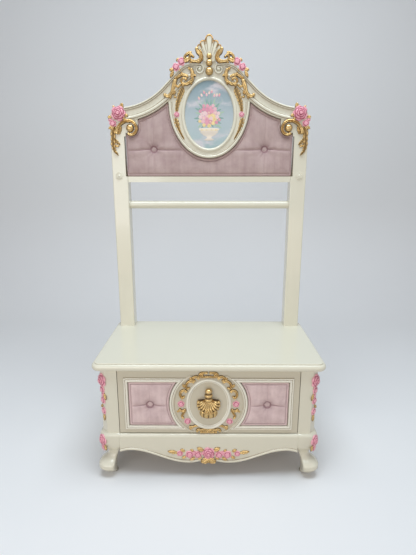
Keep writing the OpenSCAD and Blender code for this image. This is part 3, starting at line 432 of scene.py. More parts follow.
def nap(tree, given):
    """Napped cloth: a fine weave, mottled pile and brushed streaks, drawn towards the deep colour along sewn lines
    and where shade is painted in.
    """
    weave = [node(tree, "TexWave", {"Vector": given["Vector"], "Scale": 330.0, "Distortion": 0.6, "Detail": 1.0},
                  wave_type="BANDS", bands_direction=way)["Fac"] for way in "XZ"]
    pile = noise_node(tree, given["Vector"], 24.0, 6.0, Roughness=0.62)
    streak = noise_node(tree, stretched(tree, given["Vector"], (60.0, 8.0, 7.0)), 1.0, 3.0)
    mottled = calc(tree, "ADD", calc(tree, "MULTIPLY", pile, 0.8), calc(tree, "MULTIPLY", streak, 0.5))
    shaded = calc(tree, "MAXIMUM", remap(tree, mottled, 0.4, 0.95, 0.0, 0.55), given["Seam"])
    thread = calc(tree, "MULTIPLY", calc(tree, "MULTIPLY", calc(tree, "MULTIPLY", *weave), 0.25), given["Thread"])
    high = calc(tree, "ADD", thread, calc(tree, "MULTIPLY", pile, 0.35))
    return {"Color": mix_colour(tree, shaded, given["Body"], given["Deep"]),
            "Height": calc(tree, "SUBTRACT", high, calc(tree, "MULTIPLY", given["Seam"], 0.9)),
            "Roughness": calc(tree, "MULTIPLY_ADD", pile, 0.2, 0.68)}


def grain(tree, given):
    """Plain boards: growth rings drawn out along X, and short pores."""
    space = stretched(tree, given["Vector"], (1.3, 16.0, 22.0))
    rings = noise_node(tree, space, 1.0, 4.0, Roughness=0.6, Distortion=0.6)
    pores = noise_node(tree, space, 14.0, 3.0)
    both = remap(tree, calc(tree, "ADD", rings, calc(tree, "MULTIPLY", pores, 0.35)), 0.5, 0.9)
    return {"Color": mix_colour(tree, both, given["Early"], given["Late"]), "Height": pores}


HERE, WHITE = (0, 0, 0), (1, 1, 1, 1)
GROUPS = {  # what a group of nodes shades, its inputs with their defaults, its outputs
    # painted shade: the recess colour where the carving's tone is low
    "Painted shade in the carving": (recess_shade, {"Vector": HERE, "Tone": 1.0, "Body": WHITE, "Recess": (0, 0, 0, 1),
                                     "Reach": 0.5}, ("Color", "Mask")),
    "Sprayed coat": (coat, {"Vector": HERE, "Body": WHITE, "Shade": (0.8, 0.8, 0.8, 1), "Gloss": 0.3,
                            "Peel": 1.0}, ("Color", "Roughness", "Height")),
    "Napped cloth": (nap, {"Vector": HERE, "Body": WHITE, "Deep": (0.5, 0.5, 0.5, 1), "Seam": 0.0,
                           "Thread": 1.0}, ("Color", "Height", "Roughness")),
    "Board grain": (grain, {"Vector": HERE, "Early": WHITE, "Late": (0.6, 0.5, 0.4, 1)}, ("Color", "Height")),
}


def shared_group(name):
    """The named group of shader nodes, made when it is first asked for."""
    if name in bpy.data.node_groups:
        return bpy.data.node_groups[name]
    shade, inputs, outputs = GROUPS[name]
    group = bpy.data.node_groups.new(name, "ShaderNodeTree")
    for label, value in inputs.items():
        kind = "Float" if isinstance(value, float) else "Vector" if len(value) == 3 else "Color"
        socket = group.interface.new_socket(name=label, in_out="INPUT", socket_type="NodeSocket" + kind)
        socket.default_value = value
    for label in outputs:
        kind = "Color" if label == "Color" else "Float"
        group.interface.new_socket(name=label, in_out="OUTPUT", socket_type="NodeSocket" + kind)
    given = group.nodes.new("NodeGroupInput").outputs
    feed(group, group.nodes.new("NodeGroupOutput").inputs, shade(group, given))
    return group


def use_group(tree, name, **values):
    made = tree.nodes.new("ShaderNodeGroup")
    made.node_tree = shared_group(name)
    feed(tree, made.inputs, values)
    return made.outputs


# ---- materials

def start_material(name):
    material = bpy.data.materials.new(name)
    material.use_nodes = True
    tree = material.node_tree
    tree.nodes.clear()
    shader = tree.nodes.new("ShaderNodeBsdfPrincipled")
    output = tree.nodes.new("ShaderNodeOutputMaterial")
    tree.links.new(shader.outputs[0], output.inputs[0])
    return material, tree, shader.inputs, tree.nodes.new("ShaderNodeTexCoord").outputs["Object"]


def dress(tree, shader, height, strength, distance, values):
    """Feeds the shader, with the height as a bump."""
    normal = node(tree, "Bump", {"Height": height, "Strength": strength, "Distance": distance})[0]
    feed(tree, shader, {"Normal": normal, **values})


def paint(name):
    return (*getattr(bpy.context.scene.rack_finishes, name), 1)


def sprayed(tree, place, body, shade, gloss=0.2):
    return use_group(tree, "Sprayed coat", Vector=place, Body=paint(body), Shade=paint(shade), Gloss=gloss, Peel=1.0)


# Lays painted shade, in the recess colour, over a coat where the carving's tone is low.
def with_recess_shade(tree, place, base, recess, reach):
    return use_group(tree, "Painted shade in the carving", Vector=place, Tone=attribute(tree, "tone")["Fac"],
                     Body=base["Color"], Recess=paint(recess), Reach=reach)


def lacquer(tree, shader, place, body="ivory", shade="ivory_shade", carved=False):
    base = sprayed(tree, place, body, shade)
    # carved lacquer takes painted shade in its grooves and hollows
    top = with_recess_shade(tree, place, base, "ivory_recess_shade", 0.7) if carved else base
    dress(tree, shader, base["Height"], 0.02, 0.0001, {
        "Base Color": top["Color"], "Roughness": base["Roughness"], "Coat Weight": 0.6, "Coat Roughness": 0.09})


def gilt(tree, shader, place):
    base = sprayed(tree, place, "gold", "gold_shade")
    # painted shade darkens the gilt where its tone is low
    top = with_recess_shade(tree, place, base, "gold_recess_shade", 0.82)
    dress(tree, shader, base["Height"], 0.12, 0.0006, {
        "Base Color": top["Color"], "Roughness": base["Roughness"],
        "Metallic": calc(tree, "MULTIPLY_ADD", top["Mask"], -0.5, 0.85)})


def rose_paint(tree, shader, place):
    base = sprayed(tree, place, "rose", "rose_shade", gloss=0.3)
    # painted shade between the petals, where the tone is low
    top = with_recess_shade(tree, place, base, "rose_recess_shade", 0.8)
    dress(tree, shader, base["Height"], 0.08, 0.0005, {
        "Base Color": top["Color"], "Roughness": base["Roughness"], "Coat Weight": 0.2})


def edged(tree, shader, place):
    """Lacquer whose lobes are edged in gold: the piece's gilt attribute says where."""
    base = sprayed(tree, place, "ivory", "ivory_shade")
    # painted shade in the shell's grooves, in the ivory recess colour
    top = with_recess_shade(tree, place, base, "ivory_recess_shade", 0.6)
    brush = noise_node(tree, place, 140.0, 3.0)
    edge = calc(tree, "ADD", attribute(tree, "gilt")["Fac"], calc(tree, "MULTIPLY_ADD", brush, 0.5, -0.25))
    mask = remap(tree, edge, 0.4, 0.6)
    dress(tree, shader, base["Height"], 0.06, 0.0005, {
        "Base Color": mix_colour(tree, mask, top["Color"], paint("gold_shade")),
        "Metallic": calc(tree, "MULTIPLY", mask, 0.8), "Roughness": base["Roughness"]})


def napped(tree, shader, place, body):
    cloth = use_group(tree, "Napped cloth", Vector=place, Body=paint(body), Deep=paint("cloth_deep"),
                      Seam=attribute(tree, "seam_and_shade")["Fac"], Thread=1.0)
    dress(tree, shader, cloth["Height"], 0.35, 0.0012, {
        "Base Color": cloth["Color"], "Roughness": cloth["Roughness"], "Sheen Weight": 0.25, "Sheen Roughness": 0.4})


def timber(tree, shader, place):
    board = use_group(tree, "Board grain", Vector=place, Early=paint("board"), Late=paint("board_ring"))
    dress(tree, shader, board["Height"], 0.15, 0.0006, {"Base Color": board["Color"], "Roughness": 0.55})


def steel(tree, shader, place):
    lines = noise_node(tree, stretched(tree, place, (600.0, 8.0, 600.0)), 1.0, 3.0)
    dress(tree, shader, lines, 0.1, 0.0003, {
        "Base Color": mix_colour(tree, lines, (0.62, 0.64, 0.66, 1), (0.78, 0.79, 0.8, 1)), "Metallic": 1.0,
        "Roughness": remap(tree, lines, 0.0, 1.0, 0.25, 0.45)})


def glide(tree, shader, place):
    grit = noise_node(tree, place, 900.0, 3.0)
    dress(tree, shader, grit, 0.2, 0.0004, {
        "Base Color": mix_colour(tree, grit, (0.34, 0.32, 0.28, 1), (0.46, 0.44, 0.39, 1)), "Roughness": 0.6})


PICTURE_HALF = 110
SKY_STOPS = ((0.0, (0.33, 0.46, 0.47, 1)), (0.16, (0.45, 0.55, 0.57, 1)), (0.45, (0.48, 0.55, 0.59, 1)),
             (1.0, (0.21, 0.31, 0.36, 1)))


def sky(tree, shader, place):
    """The picture's ground: a pale sky that clears upwards, soft clouds, and mist over low hills."""
    low, high = ((CREST_Z + PICTURE_Z + way * PICTURE_HALF) / 1000 for way in (-1, 1))
    height = remap(tree, node(tree, "SeparateXYZ", {0: place})[2], low, high)
    air = node(tree, "ValToRGB", {"Fac": height})
    stops = air[0].node.color_ramp.elements
    stops[0].position, stops[0].color = SKY_STOPS[0]
    stops[1].position, stops[1].color = SKY_STOPS[-1]
    for position, colour in SKY_STOPS[1:-1]:
        stops.new(position).color = colour
    cloud = noise_node(tree, stretched(tree, place, (13.0, 13.0, 22.0)), 1.0, 7.0, Roughness=0.52, Distortion=0.5)
    puff = remap(tree, cloud, 0.47, 0.66, interpolation_type="SMOOTHSTEP")
    clouded = mix_colour(tree, puff, air["Color"], (0.68, 0.64, 0.68, 1))
    dabs = node(tree, "TexVoronoi", {"Vector": place, "Scale": 260.0})["Distance"]
    dress(tree, shader, dabs, 0.12, 0.0004, {
        "Base Color": mix_colour(tree, calc(tree, "MULTIPLY", dabs, 0.22), clouded, (0.42, 0.50, 0.55, 1)),
        "Roughness": 0.5})


def petals(tree, shader, place):
    """Brush dabs of the painted posy, coloured by the piece's own attribute."""
    brush = noise_node(tree, place, 500.0, 3.0)
    shade = mix_colour(tree, calc(tree, "MULTIPLY", brush, 0.35), attribute(tree, "paint")["Color"],
                       (0.95, 0.9, 0.85, 1))
    dress(tree, shader, brush, 0.15, 0.0003, {"Base Color": shade, "Roughness": 0.5})


FINISHES = {  # name of the material, its slot in the record, what shades it and with which values
    "lacquer": ("Ivory lacquer, carved", "lacquer", lacquer, {"carved": True}),
    "lacquer_plain": ("Ivory lacquer", "lacquer", lacquer, {}),
    # the drawer's fine mouldings: a lighter copy of the ivory, painted highlight
    "lacquer_trim": ("Ivory lacquer lightened as painted highlight, carved", "lacquer", lacquer, {"carved": True, "body": "trim_highlight", "shade": "ivory"}),
    # the drawer's field: a darker copy of the ivory, painted shade under the top's overhang
    "lacquer_field_shaded": ("Ivory lacquer darkened as painted shade", "lacquer", lacquer, {"body": "ivory_in_shadow", "shade": "ivory_in_shadow_cloud"}),
    "gilt": ("Gold paint", "gilt", gilt, {}),
    "rose_paint": ("Rose paint", "rose_paint", rose_paint, {}),
    "upholstery": ("Mauve napped cloth", "upholstery", napped, {"body": "cloth"}),
    # the drawer's pads: a paler copy of the same cloth, painted light and sheen
    "upholstery_lit": ("Mauve napped cloth, painted lighter for the drawer", "upholstery", napped, {"body": "cloth_lit"}),
    "timber": ("Plain boards", "timber", timber, {}),
    "steel": ("Zinc plated steel", "steel", steel, {}),
    "glide": ("Moulded glide", "glide", glide, {}),
    "shell": ("Lacquer edged in gold", "lacquer", edged, {}),
    "sky": ("Painted sky", "picture", sky, {}),
    "petals": ("Painted posy", "picture", petals, {}),
}


def finish_material(finish):
    label, _, shade, values = FINISHES[finish]
    if label not in bpy.data.materials:
        shade(*start_material(label)[1:], **values)
    return bpy.data.materials[label]


# ---- bench

def rounded_outline(w, d, r, steps):
    """Points of a rounded rectangle, each with its outward direction."""
    out = []
    for cx, cy, start in ((w - r, d - r, 0), (-w + r, d - r, 90), (-w + r, -d + r, 180), (w - r, -d + r, 270)):
        for k in range(steps + 1):
            a = math.radians(start + 90 * k / steps)
            n = Vector((math.cos(a), math.sin(a)))
            out.append((Vector((cx, cy)) + r * n, n))
    return out


def nosing_profile(t):
    """Edge of the top, from its underside upwards, as (inset, height): a roll, a fillet and a raised table."""
    turns = [k * math.pi / 16 for k in range(1, 9)]
    return ([(16, 0), (9, 0), (7.5, 0.6)]
            + [(7.5 - 7.5 * math.sin(a), 0.6 + 9.4 * (1 - math.cos(a))) for a in turns]
            + [(7.2 * (1 - math.cos(a)), 10 + (t - 13) * math.sin(a)) for a in turns]
            + [(8.6, t - 3.0), (9.0, t - 2.6), (9.1, t - 1.4), (9.5, t - 0.6), (10.4, t - 0.1), (11.6, t), (15, t)])


def model_bench_top():
    bm = new_work()
    low, high = TOP_LOW, TOP_HIGH
    mid_y = (high.y + low.y) / 2
    t = high.z - low.z
    outline = rounded_outline(high.x, (high.y - low.y) / 2, bpy.context.scene.rack_sizes.top_corner * 1000, 14)
    profile = nosing_profile(t)
    rings = [[(p.x - n.x * inset, p.y - n.y * inset + mid_y, low.z + z) for p, n in outline] for inset, z in profile]
    # a low tone along the groove below the raised table, for painted shade
    tones = [0.35 if abs(inset - 8.8) < 0.3 and z < t - 1 else 1 for inset, z in profile]
    skin(bm, rings, tones)
    finish_piece(bm, "bench_top_board", "lacquer", ("bench_top",), crease=30)


# ---- base: aprons and legs

BULGE = 9  # how far the rails swell out
SHOULDER = 9  # radius of their upper edge
ARCH = 101  # height of the lower edge beside the legs
ARCH_IN = 34  # width of the flatter stretch there
FRONT_DROP, SIDE_DROP = 54, 82  # height of the lower edge in the middle
LOBE = 64  # half width of the middle lobe
BEAD = 4.4  # radius of the bead along the lower edge


def swell(z):
    if z > BASE_TOP - SHOULDER:
        return BULGE * math.sqrt(max(0.0, 1 - ((z - BASE_TOP + SHOULDER) / SHOULDER) ** 2))
    return BULGE * (1 - 0.35 * ((BASE_TOP - SHOULDER - z) / 100) ** 2)


def apron_edge(x, half, drop):
    u = abs(x)
    top = half - ARCH_IN
    if u < LOBE:
        return drop + 4.5 * (1 + math.cos(math.pi * u / LOBE))
    if u < top:
        return drop + (ARCH - drop) * (1 - math.cos(math.pi * (u - LOBE) / (top - LOBE))) / 2
    return ARCH - 7 * ((u - top) / ARCH_IN) ** 2


def apron_form(bm, half, drop, columns, matrix):
    """A convex rail with a rolled bead along its serpentine lower edge."""
    def place(u, v):
        x = half * (2 * u - 1)
        low = apron_edge(x, half, drop)
        if v < 0.4:
            a = v / 0.4 * math.pi
            return (x, swell(low + 5) + 3.2 * math.sin(a), low + BEAD - BEAD * math.cos(a), 0.25 if v > 0.34 else 1)
        s = (v - 0.4) / 0.6
        if s < 0.6:
            z = low + 2 * BEAD + (BASE_TOP - SHOULDER - low - 2 * BEAD) * s / 0.6
            h = swell(z) - 0.5 * gauss(s, 0.05)
        else:
            a = (s - 0.6) / 0.4 * math.pi / 2
            z = BASE_TOP - SHOULDER + SHOULDER * math.sin(a)
            h = BULGE * math.cos(a)
        return x, h, z, 0.4 if s < 0.04 else 1

    carve(bm, columns, 44, place, -20, matrix)


GLIDE_TOP = 4
LEG_STATIONS = [  # height, inner offset, outer reach past the block, corner cut, roundness
    (GLIDE_TOP, 20.5, -13, 10, 0.95), (8, 20.5, -8.5, 14, 1), (15, 21, 2, 22, 1), (23, 21, 12, 28, 1),
    (34, 20.5, 19, 31, 1), (45, 19.5, 18.5, 31, 1), (54, 18.5, 11.5, 28, 1), (61, 17, 1, 23, 0.95),
    (67, 15, -5.5, 18, 0.8), (73, 12.5, -9, 16, 0.65), (82, 9, -8.5, 15, 0.5), (92, 5, -3.5, 16, 0.4),
    (102, 2, 3.5, 17, 0.3), (112, 0.3, 7.5, 19, 0.22), (124, 0, 8.6, 20, 0.16), (136, 0, 9, 21, 0.12),
    (148, 0, 9, 21.5, 0.12), (151, 0, 8.4, 21, 0.12), (154, 0, 6.6, 20.5, 0.12), (156, 0, 3.6, 19.4, 0.12),
    (157, 0, 0.6, 18, 0.12),
]


def leg_ring(a, b, cut, roundness):
    """Plan of the leg at one height: a block whose outer corner is cut and rounded, inner corners eased."""
    def quarter(cx, cy, r, start):
        turned = (polar(r, start + 18 * k) for k in range(6))
        return [(cx + x, cy + y) for x, y in turned]

    eased = min(10, 1 + 11 * max(0.0, roundness - 0.1))
    r = min(eased, (b - a) / 3)
    pts = quarter(a + eased, a + eased, eased, 180) + quarter(b - r, a + r, r, 270)
    for k in range(13):
        t = k / 12
        straight = Vector((b - cut * t, b - cut * (1 - t)))
        x, y = polar(cut, 90 * t)
        pts.append(straight.lerp(Vector((b - cut + x, b - cut + y)), roundness))
    return pts + quarter(a + r, b - r, r, 90)


def leg_form(bm, corner_x, corner_y, sx, sy):
    rings = []
    for k in range(57):
        z = GLIDE_TOP + (BASE_TOP - GLIDE_TOP) * k / 56
        a, reach, cut, roundness = read_curve(LEG_STATIONS, z)
        ring = leg_ring(a, CORNER + reach, cut, roundness)
        rings.append([(corner_x + sx * x, corner_y + sy * y, z) for x, y in ring])
    skin(bm, rings)


def model_base():
    inner = BODY_HALF - CORNER
    front_y = FACE_Y + CORNER
    back_y = BODY_BACK - CORNER
    bm = new_work()
    apron_form(bm, inner, FRONT_DROP, 120, Matrix.Translation((0, FACE_Y, 0)))
    finish_piece(bm, "front_rail", "lacquer", ("front_apron",), crease=50)
    for side, label in SIDES:
        bm = new_work()
        turn = Matrix.Rotation(side * math.pi / 2, 4, "Z")
        apron_form(bm, (back_y - front_y) / 2, SIDE_DROP, 70,
                   Matrix.Translation((side * BODY_HALF, (front_y + back_y) / 2, 0)) @ turn)
        finish_piece(bm, "side_rail_" + label, "lacquer", ("side_apron_" + label,), crease=50)
        for end, y, way in (("front", front_y, -1), ("rear", back_y, 1)):
            bm = new_work()
            leg_form(bm, side * inner, y, side, way)
            finish_piece(bm, f"{end}_leg_{label}", "lacquer_plain", (f"leg_{end}_{label}",), crease=50)


# ---- crest

CREST_R = 38  # corner rounding of the board
CREST_X0 = POST_HALF - CREST_R - 14  # where the arm starts
CREST_FLAT = 52  # where its round end starts
HEADING = math.radians(7)  # direction at the start
SLOPE = math.radians(44)  # direction of the straight stretch
ROUND_R = 72
SHOULDER_Z = 94.5
PEAK_Z = 230.5
ARM_WIDTH = 46
RUN = CREST_X0 - CREST_FLAT - ROUND_R * math.sin(SLOPE)
RISE = PEAK_Z - SHOULDER_Z - ROUND_R * (1 - math.cos(SLOPE))
HOLLOW_R = (RUN * math.sin(SLOPE) - RISE * math.cos(SLOPE)) / (1 - math.cos(SLOPE - HEADING))
HOLLOW_X = CREST_X0 + HOLLOW_R * math.sin(HEADING)
HOLLOW_Z = SHOULDER_Z + HOLLOW_R * math.cos(HEADING)
STRAIGHT = math.hypot(
    (-CREST_FLAT - ROUND_R * math.sin(SLOPE)) - (-HOLLOW_X + HOLLOW_R * math.sin(SLOPE)),
    (PEAK_Z - ROUND_R * (1 - math.cos(SLOPE))) - (HOLLOW_Z - HOLLOW_R * math.cos(SLOPE)))


def crest_point(s, d):
    """A point of the left arm at s (0 at the corner, 1 at the volute), d inside its outer edge."""
    lengths = (HOLLOW_R * (SLOPE - HEADING), STRAIGHT, ROUND_R * SLOPE)
    run = s * sum(lengths)
    if run <= lengths[0]:
        a = HEADING + run / HOLLOW_R
        return -HOLLOW_X + (HOLLOW_R + d) * math.sin(a), HOLLOW_Z - (HOLLOW_R + d) * math.cos(a)
    run -= lengths[0]
    if run <= lengths[1]:
        return (-HOLLOW_X + HOLLOW_R * math.sin(SLOPE) + run * math.cos(SLOPE) + d * math.sin(SLOPE),
                HOLLOW_Z - HOLLOW_R * math.cos(SLOPE) + run * math.sin(SLOPE) - d * math.cos(SLOPE))
    a = SLOPE - (run - lengths[1]) / ROUND_R
    return -CREST_FLAT - (ROUND_R - d) * math.sin(a), PEAK_Z - ROUND_R + (ROUND_R - d) * math.cos(a)


# Across the arm, from its outer edge: a bead, a fillet, a hollow, a broad roll and a fine bead
ARM_PROFILE = [
    (0.6, 0.2), (0.8, 4.5), (1.6, 6.6), (3.2, 7.8), (4.8, 7.7), (6.2, 6.6), (7, 5.2), (7.4, 5), (8.2, 5.8),
    (9.2, 6), (10.2, 5.2), (10.8, 4.2), (12.5, 2.9), (16, 1.7), (20, 1.1), (24, 1), (28, 1.5), (30.5, 2.6),
    (31.5, 3.6), (32.4, 4.9), (34.2, 6.2), (36.6, 6.8), (39, 6.2), (40.6, 4.8), (41.2, 3.8), (41.8, 3.6),
    (42.6, 4.3), (43.8, 4.5), (44.8, 3.6), (45.3, 2), (45.4, 0.2),
]
GROOVES = (7.2, 11.5, 30.5, 41.4)


def arm_form(bm, side):
    def place(u, v):
        d, h = along_profile(ARM_PROFILE, v)
        x, z = crest_point(u, d)
        tone = 1 - max(gauss(d - g, 1.5) for g in GROOVES)
        # the broad hollow gets a low tone too, for painted shade in the cove
        if 12 < d < 30:
            tone = min(tone, 0.62)
        return x * side, h * (ease((1 - u) / 0.035) * 0.85 + 0.15), z, tone

    carve(bm, 90, len(ARM_PROFILE) - 1, place, -1.0)


VOLUTE_X, VOLUTE_Z = 33, 210.5
VOLUTE_TURNS, VOLUTE_OUT, VOLUTE_IN, VOLUTE_START = 1.35, 16.5, 4.5, 88


def volute_path():
    out = []
    for k in range(45):
        t = k / 44
        x, z = polar(VOLUTE_OUT + (VOLUTE_IN - VOLUTE_OUT) * t ** 0.85, VOLUTE_START - 360 * VOLUTE_TURNS * t)
        out.append((-VOLUTE_X + x, VOLUTE_Z + z))
    return out


PLAQUE_A, PLAQUE_B, PLAQUE_Z = 137.5, 178, 106  # half axes and centre of its oval
PLAQUE_PROFILE = [
    (0.7, 0.2), (0.9, 3.2), (1.8, 5.6), (3.4, 6.9), (5.4, 7.1), (7.4, 6.2), (8.8, 4.6), (9.4, 3.4), (10, 3.1),
    (11, 3.6), (12.2, 3.7), (13.2, 2.9), (13.8, 1.4), (14, 0.2),
]


def model_crest():
    bm = new_work()
    for side in (-1, 1):
        arm_form(bm, -side)
        lead = [crest_point(s, 4.0) for s in (0.93, 0.965, 0.99)]
        ribbon(bm, lead + volute_path()[2:], 3.6, 2.6, 6.6, count=90, side=-side, groove=0.0)
        dome(bm, (side * VOLUTE_X, VOLUTE_Z), 5.2, 7.4)

    def plaque(u, v):
        d, h = along_profile(PLAQUE_PROFILE, v)
        a = math.radians(178.8 + 182.4 * u)
        tone = 1 - max(gauss(d - 9.7, 1.4), gauss(d - 13.8, 1.0))
        return (PLAQUE_A - d) * math.cos(a), h, PLAQUE_Z + (PLAQUE_B - d) * math.sin(a), tone

    carve(bm, 120, len(PLAQUE_PROFILE) - 1, plaque, -1.0)
    finish_piece(bm, "crest_mouldings", "lacquer", ("crest_moulding",), crease=55, at=ON_CREST)


RIM_A, RIM_B = 94.5, 120
RIM_PROFILE = [  # inwards from the outer edge, and forward
    (0, 0.3), (0.4, 2), (1.6, 3.4), (3.2, 4.4), (5, 5.2), (6.8, 5.4), (8.4, 4.8), (9.6, 3.6), (10.6, 2.4),
    (11.4, 1.4), (12, 0.5),
]


def ring_form(bm, a, b, profile, groove):
    """An oval moulding on the plane y = 0."""
    def place(u, v):
        d, h = along_profile(profile, v)
        t = 2 * math.pi * u
        return (a - d) * math.cos(t), h, (b - d) * math.sin(t), 1 - 0.75 * gauss(d - groove, 0.9)

    carve(bm, 120, len(profile) - 1, place, 0, ring=True)


def model_oval_rim():
    bm = new_work()
    ring_form(bm, RIM_A, RIM_B, RIM_PROFILE, 10.8)
    finish_piece(bm, "oval_rim_turned", "lacquer", ("oval_rim",), crease=60, at=ON_OVAL)


# ---- shell

# Angle from straight up, reach, half width in degrees and drop of the edge beside it
SHELL_LOBES = (
    (0, 87, 11.5, 0.15), (20, 73, 7.5, 0.07), (34, 67, 6.8, 0.07), (47.5, 55, 7, 0.08), (61, 39, 7, 0.08),
)


def shell_lobe(a):
    """The lobe that an angle falls in, and how far off its middle it is."""
    lobe = min(SHELL_LOBES, key=lambda p: abs(p[0] - abs(a)) / p[2])
    return lobe, min(1.0, abs(abs(a) - lobe[0]) / lobe[2])


def shell_reach(a):
    """Reach of the shell's scalloped edge at an angle from straight up, in degrees."""
    lobe, off = shell_lobe(a)
    return read_curve(SHELL_LOBES, abs(a))[0] * 0.35 + lobe[1] * (0.65 - lobe[3] * off ** 2.4)


def model_shell():
    bm = new_work()
    gilt_at = {}
    half_angle = 67.6
    boss = 6  # radius where the lobes start

    def skirt(u, v):
        return (18 + 13 * (1 - v) ** 1.6) * (2 * u - 1), 1.6, 214 + 38 * v, 0.85

    def place(u, v):
        a = half_angle * (2 * u - 1)
        r = boss + (shell_reach(a) - boss) * v
        off = shell_lobe(a)[1]
        arch = 1 - off ** 2
        bead = gauss(off - 0.86, 0.14) * ease((v - 0.3) / 0.4)
        h = (4.0 + 3.4 * ease(v / 0.5) - 2.6 * v ** 3 + 1.6 * bead - 1.5 * arch * v
             + 2.0 * gauss(v - 0.95, 0.045))
        tone = 0.3 + 0.5 * arch + 0.5 * bead - 0.8 * gauss(off - 0.62, 0.12) * ease((v - 0.25) / 0.3)
        z, x = polar(r, a)
        z += PEAK_Z - 3
        gilt_at[round(x, 2), round(z, 2)] = max(ease((v - 0.90) / 0.05), ease((v - 0.62) / 0.2) * bead * 0.9)
        return x, h, z, tone

    carve(bm, 150, 30, place, -8)
    carve(bm, 8, 12, skirt, -6)
    layer = bm.verts.layers.float.new("gilt")
    for v in bm.verts:
        v[layer] = gilt_at.get((round(v.co.x, 2), round(v.co.z, 2)), 0.0) if v.co.y < 0 else 0.0
    finish_piece(bm, "shell_carving", "shell", ("shell_finial",), crease=60, at=ON_CREST)


# ---- gilding

CREST_SCROLLS = [  # path, half width at start and end, height, leafy nicks, eye radius, seat
    ([(-42, 274), (-38.5, 262), (-29.5, 251), (-28, 241), (-38, 233.5), (-51, 232.5), (-62, 237.5), (-64.5, 247),
     (-57.5, 251.5), (-52.5, 246)], 4.6, 2.8, 6.5, 7, 3.6, 8),
    ([(-31.5, 268), (-23.5, 253), (-22.5, 240), (-31, 231), (-44, 228.8)], 2.6, 2, 5.2, 6, 0, 8),
    ([(-57, 257), (-67, 257), (-77, 251), (-83, 241)], 4.2, 2.6, 5.5, 4, 0, 8),
    ([(-60.6, 212), (-55.5, 201), (-57.5, 191.8), (-55, 179), (-66, 169.5), (-79, 163.8), (-90.5, 167.5),
     (-92.5, 177), (-85, 183), (-77.5, 179.5)], 4.6, 3, 7, 8, 4, 3.2),
    ([(-58.4, 193), (-52, 193), (-44, 189.6)], 4.6, 2.2, 6, 0, 0, 3.2),
    ([(-69, 186), (-84, 193), (-101, 188.5), (-112.5, 175), (-113, 162), (-104, 156.5), (-97.5, 161.5)],
     3.8, 3, 6.8, 6, 3.6, 3.2),
    ([(-112.1, 178), (-119, 159), (-123, 142.5), (-130, 131), (-140, 126.6), (-148.5, 131)],
     5.4, 3.8, 7, 5, 5, 3.6),
]
CREST_LEAVES = [  # foot, tip, width, height, seat
    ((-117, 209), (-132, 206.5), 11, 4.5, 8), ((-118, 204), (-129.5, 184), 11, 4.5, 8),
    ((-98, 241), (-109, 234.5), 9, 3.5, 8), ((-62, 208), (-70, 216), 8, 4, 4),
    ((-62, 242), (-86, 231), 15, 4.5, 8), ((-102, 214), (-95, 203), 8, 3.5, 4.6),
    ((-118, 150), (-114, 133), 8, 4.5, 3.6),
]
PLAQUE_SPRAY = [  # spine, half widths along it, height, lobes
    ([(-86, 157), (-92, 143), (-99, 128), (-105, 110), (-108.5, 95), (-110.4, 80)], [4.5, 8.5, 8, 6.5, 5, 4],
     4.6, 8),
    ([(-114.5, 60), (-111, 44), (-104.5, 24), (-96.5, 8.5), (-86.5, -9)], [6.5, 7.5, 4.6, 3, 1.8], 4.6, 7),
]
CREST_BEADS = ((204, 13.2, 2.5), (229, 11, 5), (249.4, 9, 5))  # height, radius, seat
# The gilt stands this much wider than the tables say
CREST_WIDER, CREST_END_WIDER, CREST_EYE_WIDER, SPRAY_WIDER = 1.45, 1.5, 1.2, 1.35
ON_BOARD = 0.2  # the backs of ornaments that lie on the board


def behind(seat):
    """Where a crest ornament's back lies: on the board, or on the mouldings where it rides over them."""
    return ON_BOARD if seat < 7 else 1.0


def leaflets(bm, path, places, reach, side, seat):
    """Small leaves that spring from the outer side of a scroll."""
    pts = smooth_path(path, 50)
    for u in places:
        k = round(50 * u)
        t = unit(pts[k + 2] - pts[k - 2])
        n = Vector((t.y, -t.x))
        if n.dot(pts[k] - (pts[0] + pts[-1]) / 2) < 0:
            n = -n
        tip = pts[k] + 0.75 * reach * n + 1.2 * reach * t
        leaf(bm, pts[k] + 1.5 * n, tip, 0.8 * reach, 4.5, side=side, seat=seat, back=behind(seat))


def model_crest_gilding():
    bm = new_work()
    for side in (1, -1):
        for path, w0, w1, h, nicks, eye, seat in CREST_SCROLLS:
            ribbon(bm, path, w0 * CREST_WIDER, w1 * CREST_END_WIDER, h, side=side, seat=seat, nicks=nicks,
                   eye=eye * CREST_EYE_WIDER, count=44, back=behind(seat))
            if len(path) > 5:
                leaflets(bm, path, (0.18, 0.38, 0.58), w0 + 4.5, side, seat)
        for foot, tip, w, h, seat in CREST_LEAVES:
            leaf(bm, foot, tip, w, h, side=side, seat=seat, back=behind(seat))
        for spine, widths, h, lobes in PLAQUE_SPRAY:
            acanthus(bm, spine, [SPRAY_WIDER * w for w in widths], h, lobes, side, ON_BOARD)
        dome(bm, (side * -115.5, 126), 4.4, 5, seat=ON_BOARD)
        leaf(bm, (-117, 58), (-121, 51), 6, 3, side=side)
    for z, r, seat in CREST_BEADS:
        dome(bm, (0, z), r, r, seat=seat, steps=40)
    finish_piece(bm, "crest_gilding", "gilt", ("crest_scrolls",), crease=65, at=ON_CREST)


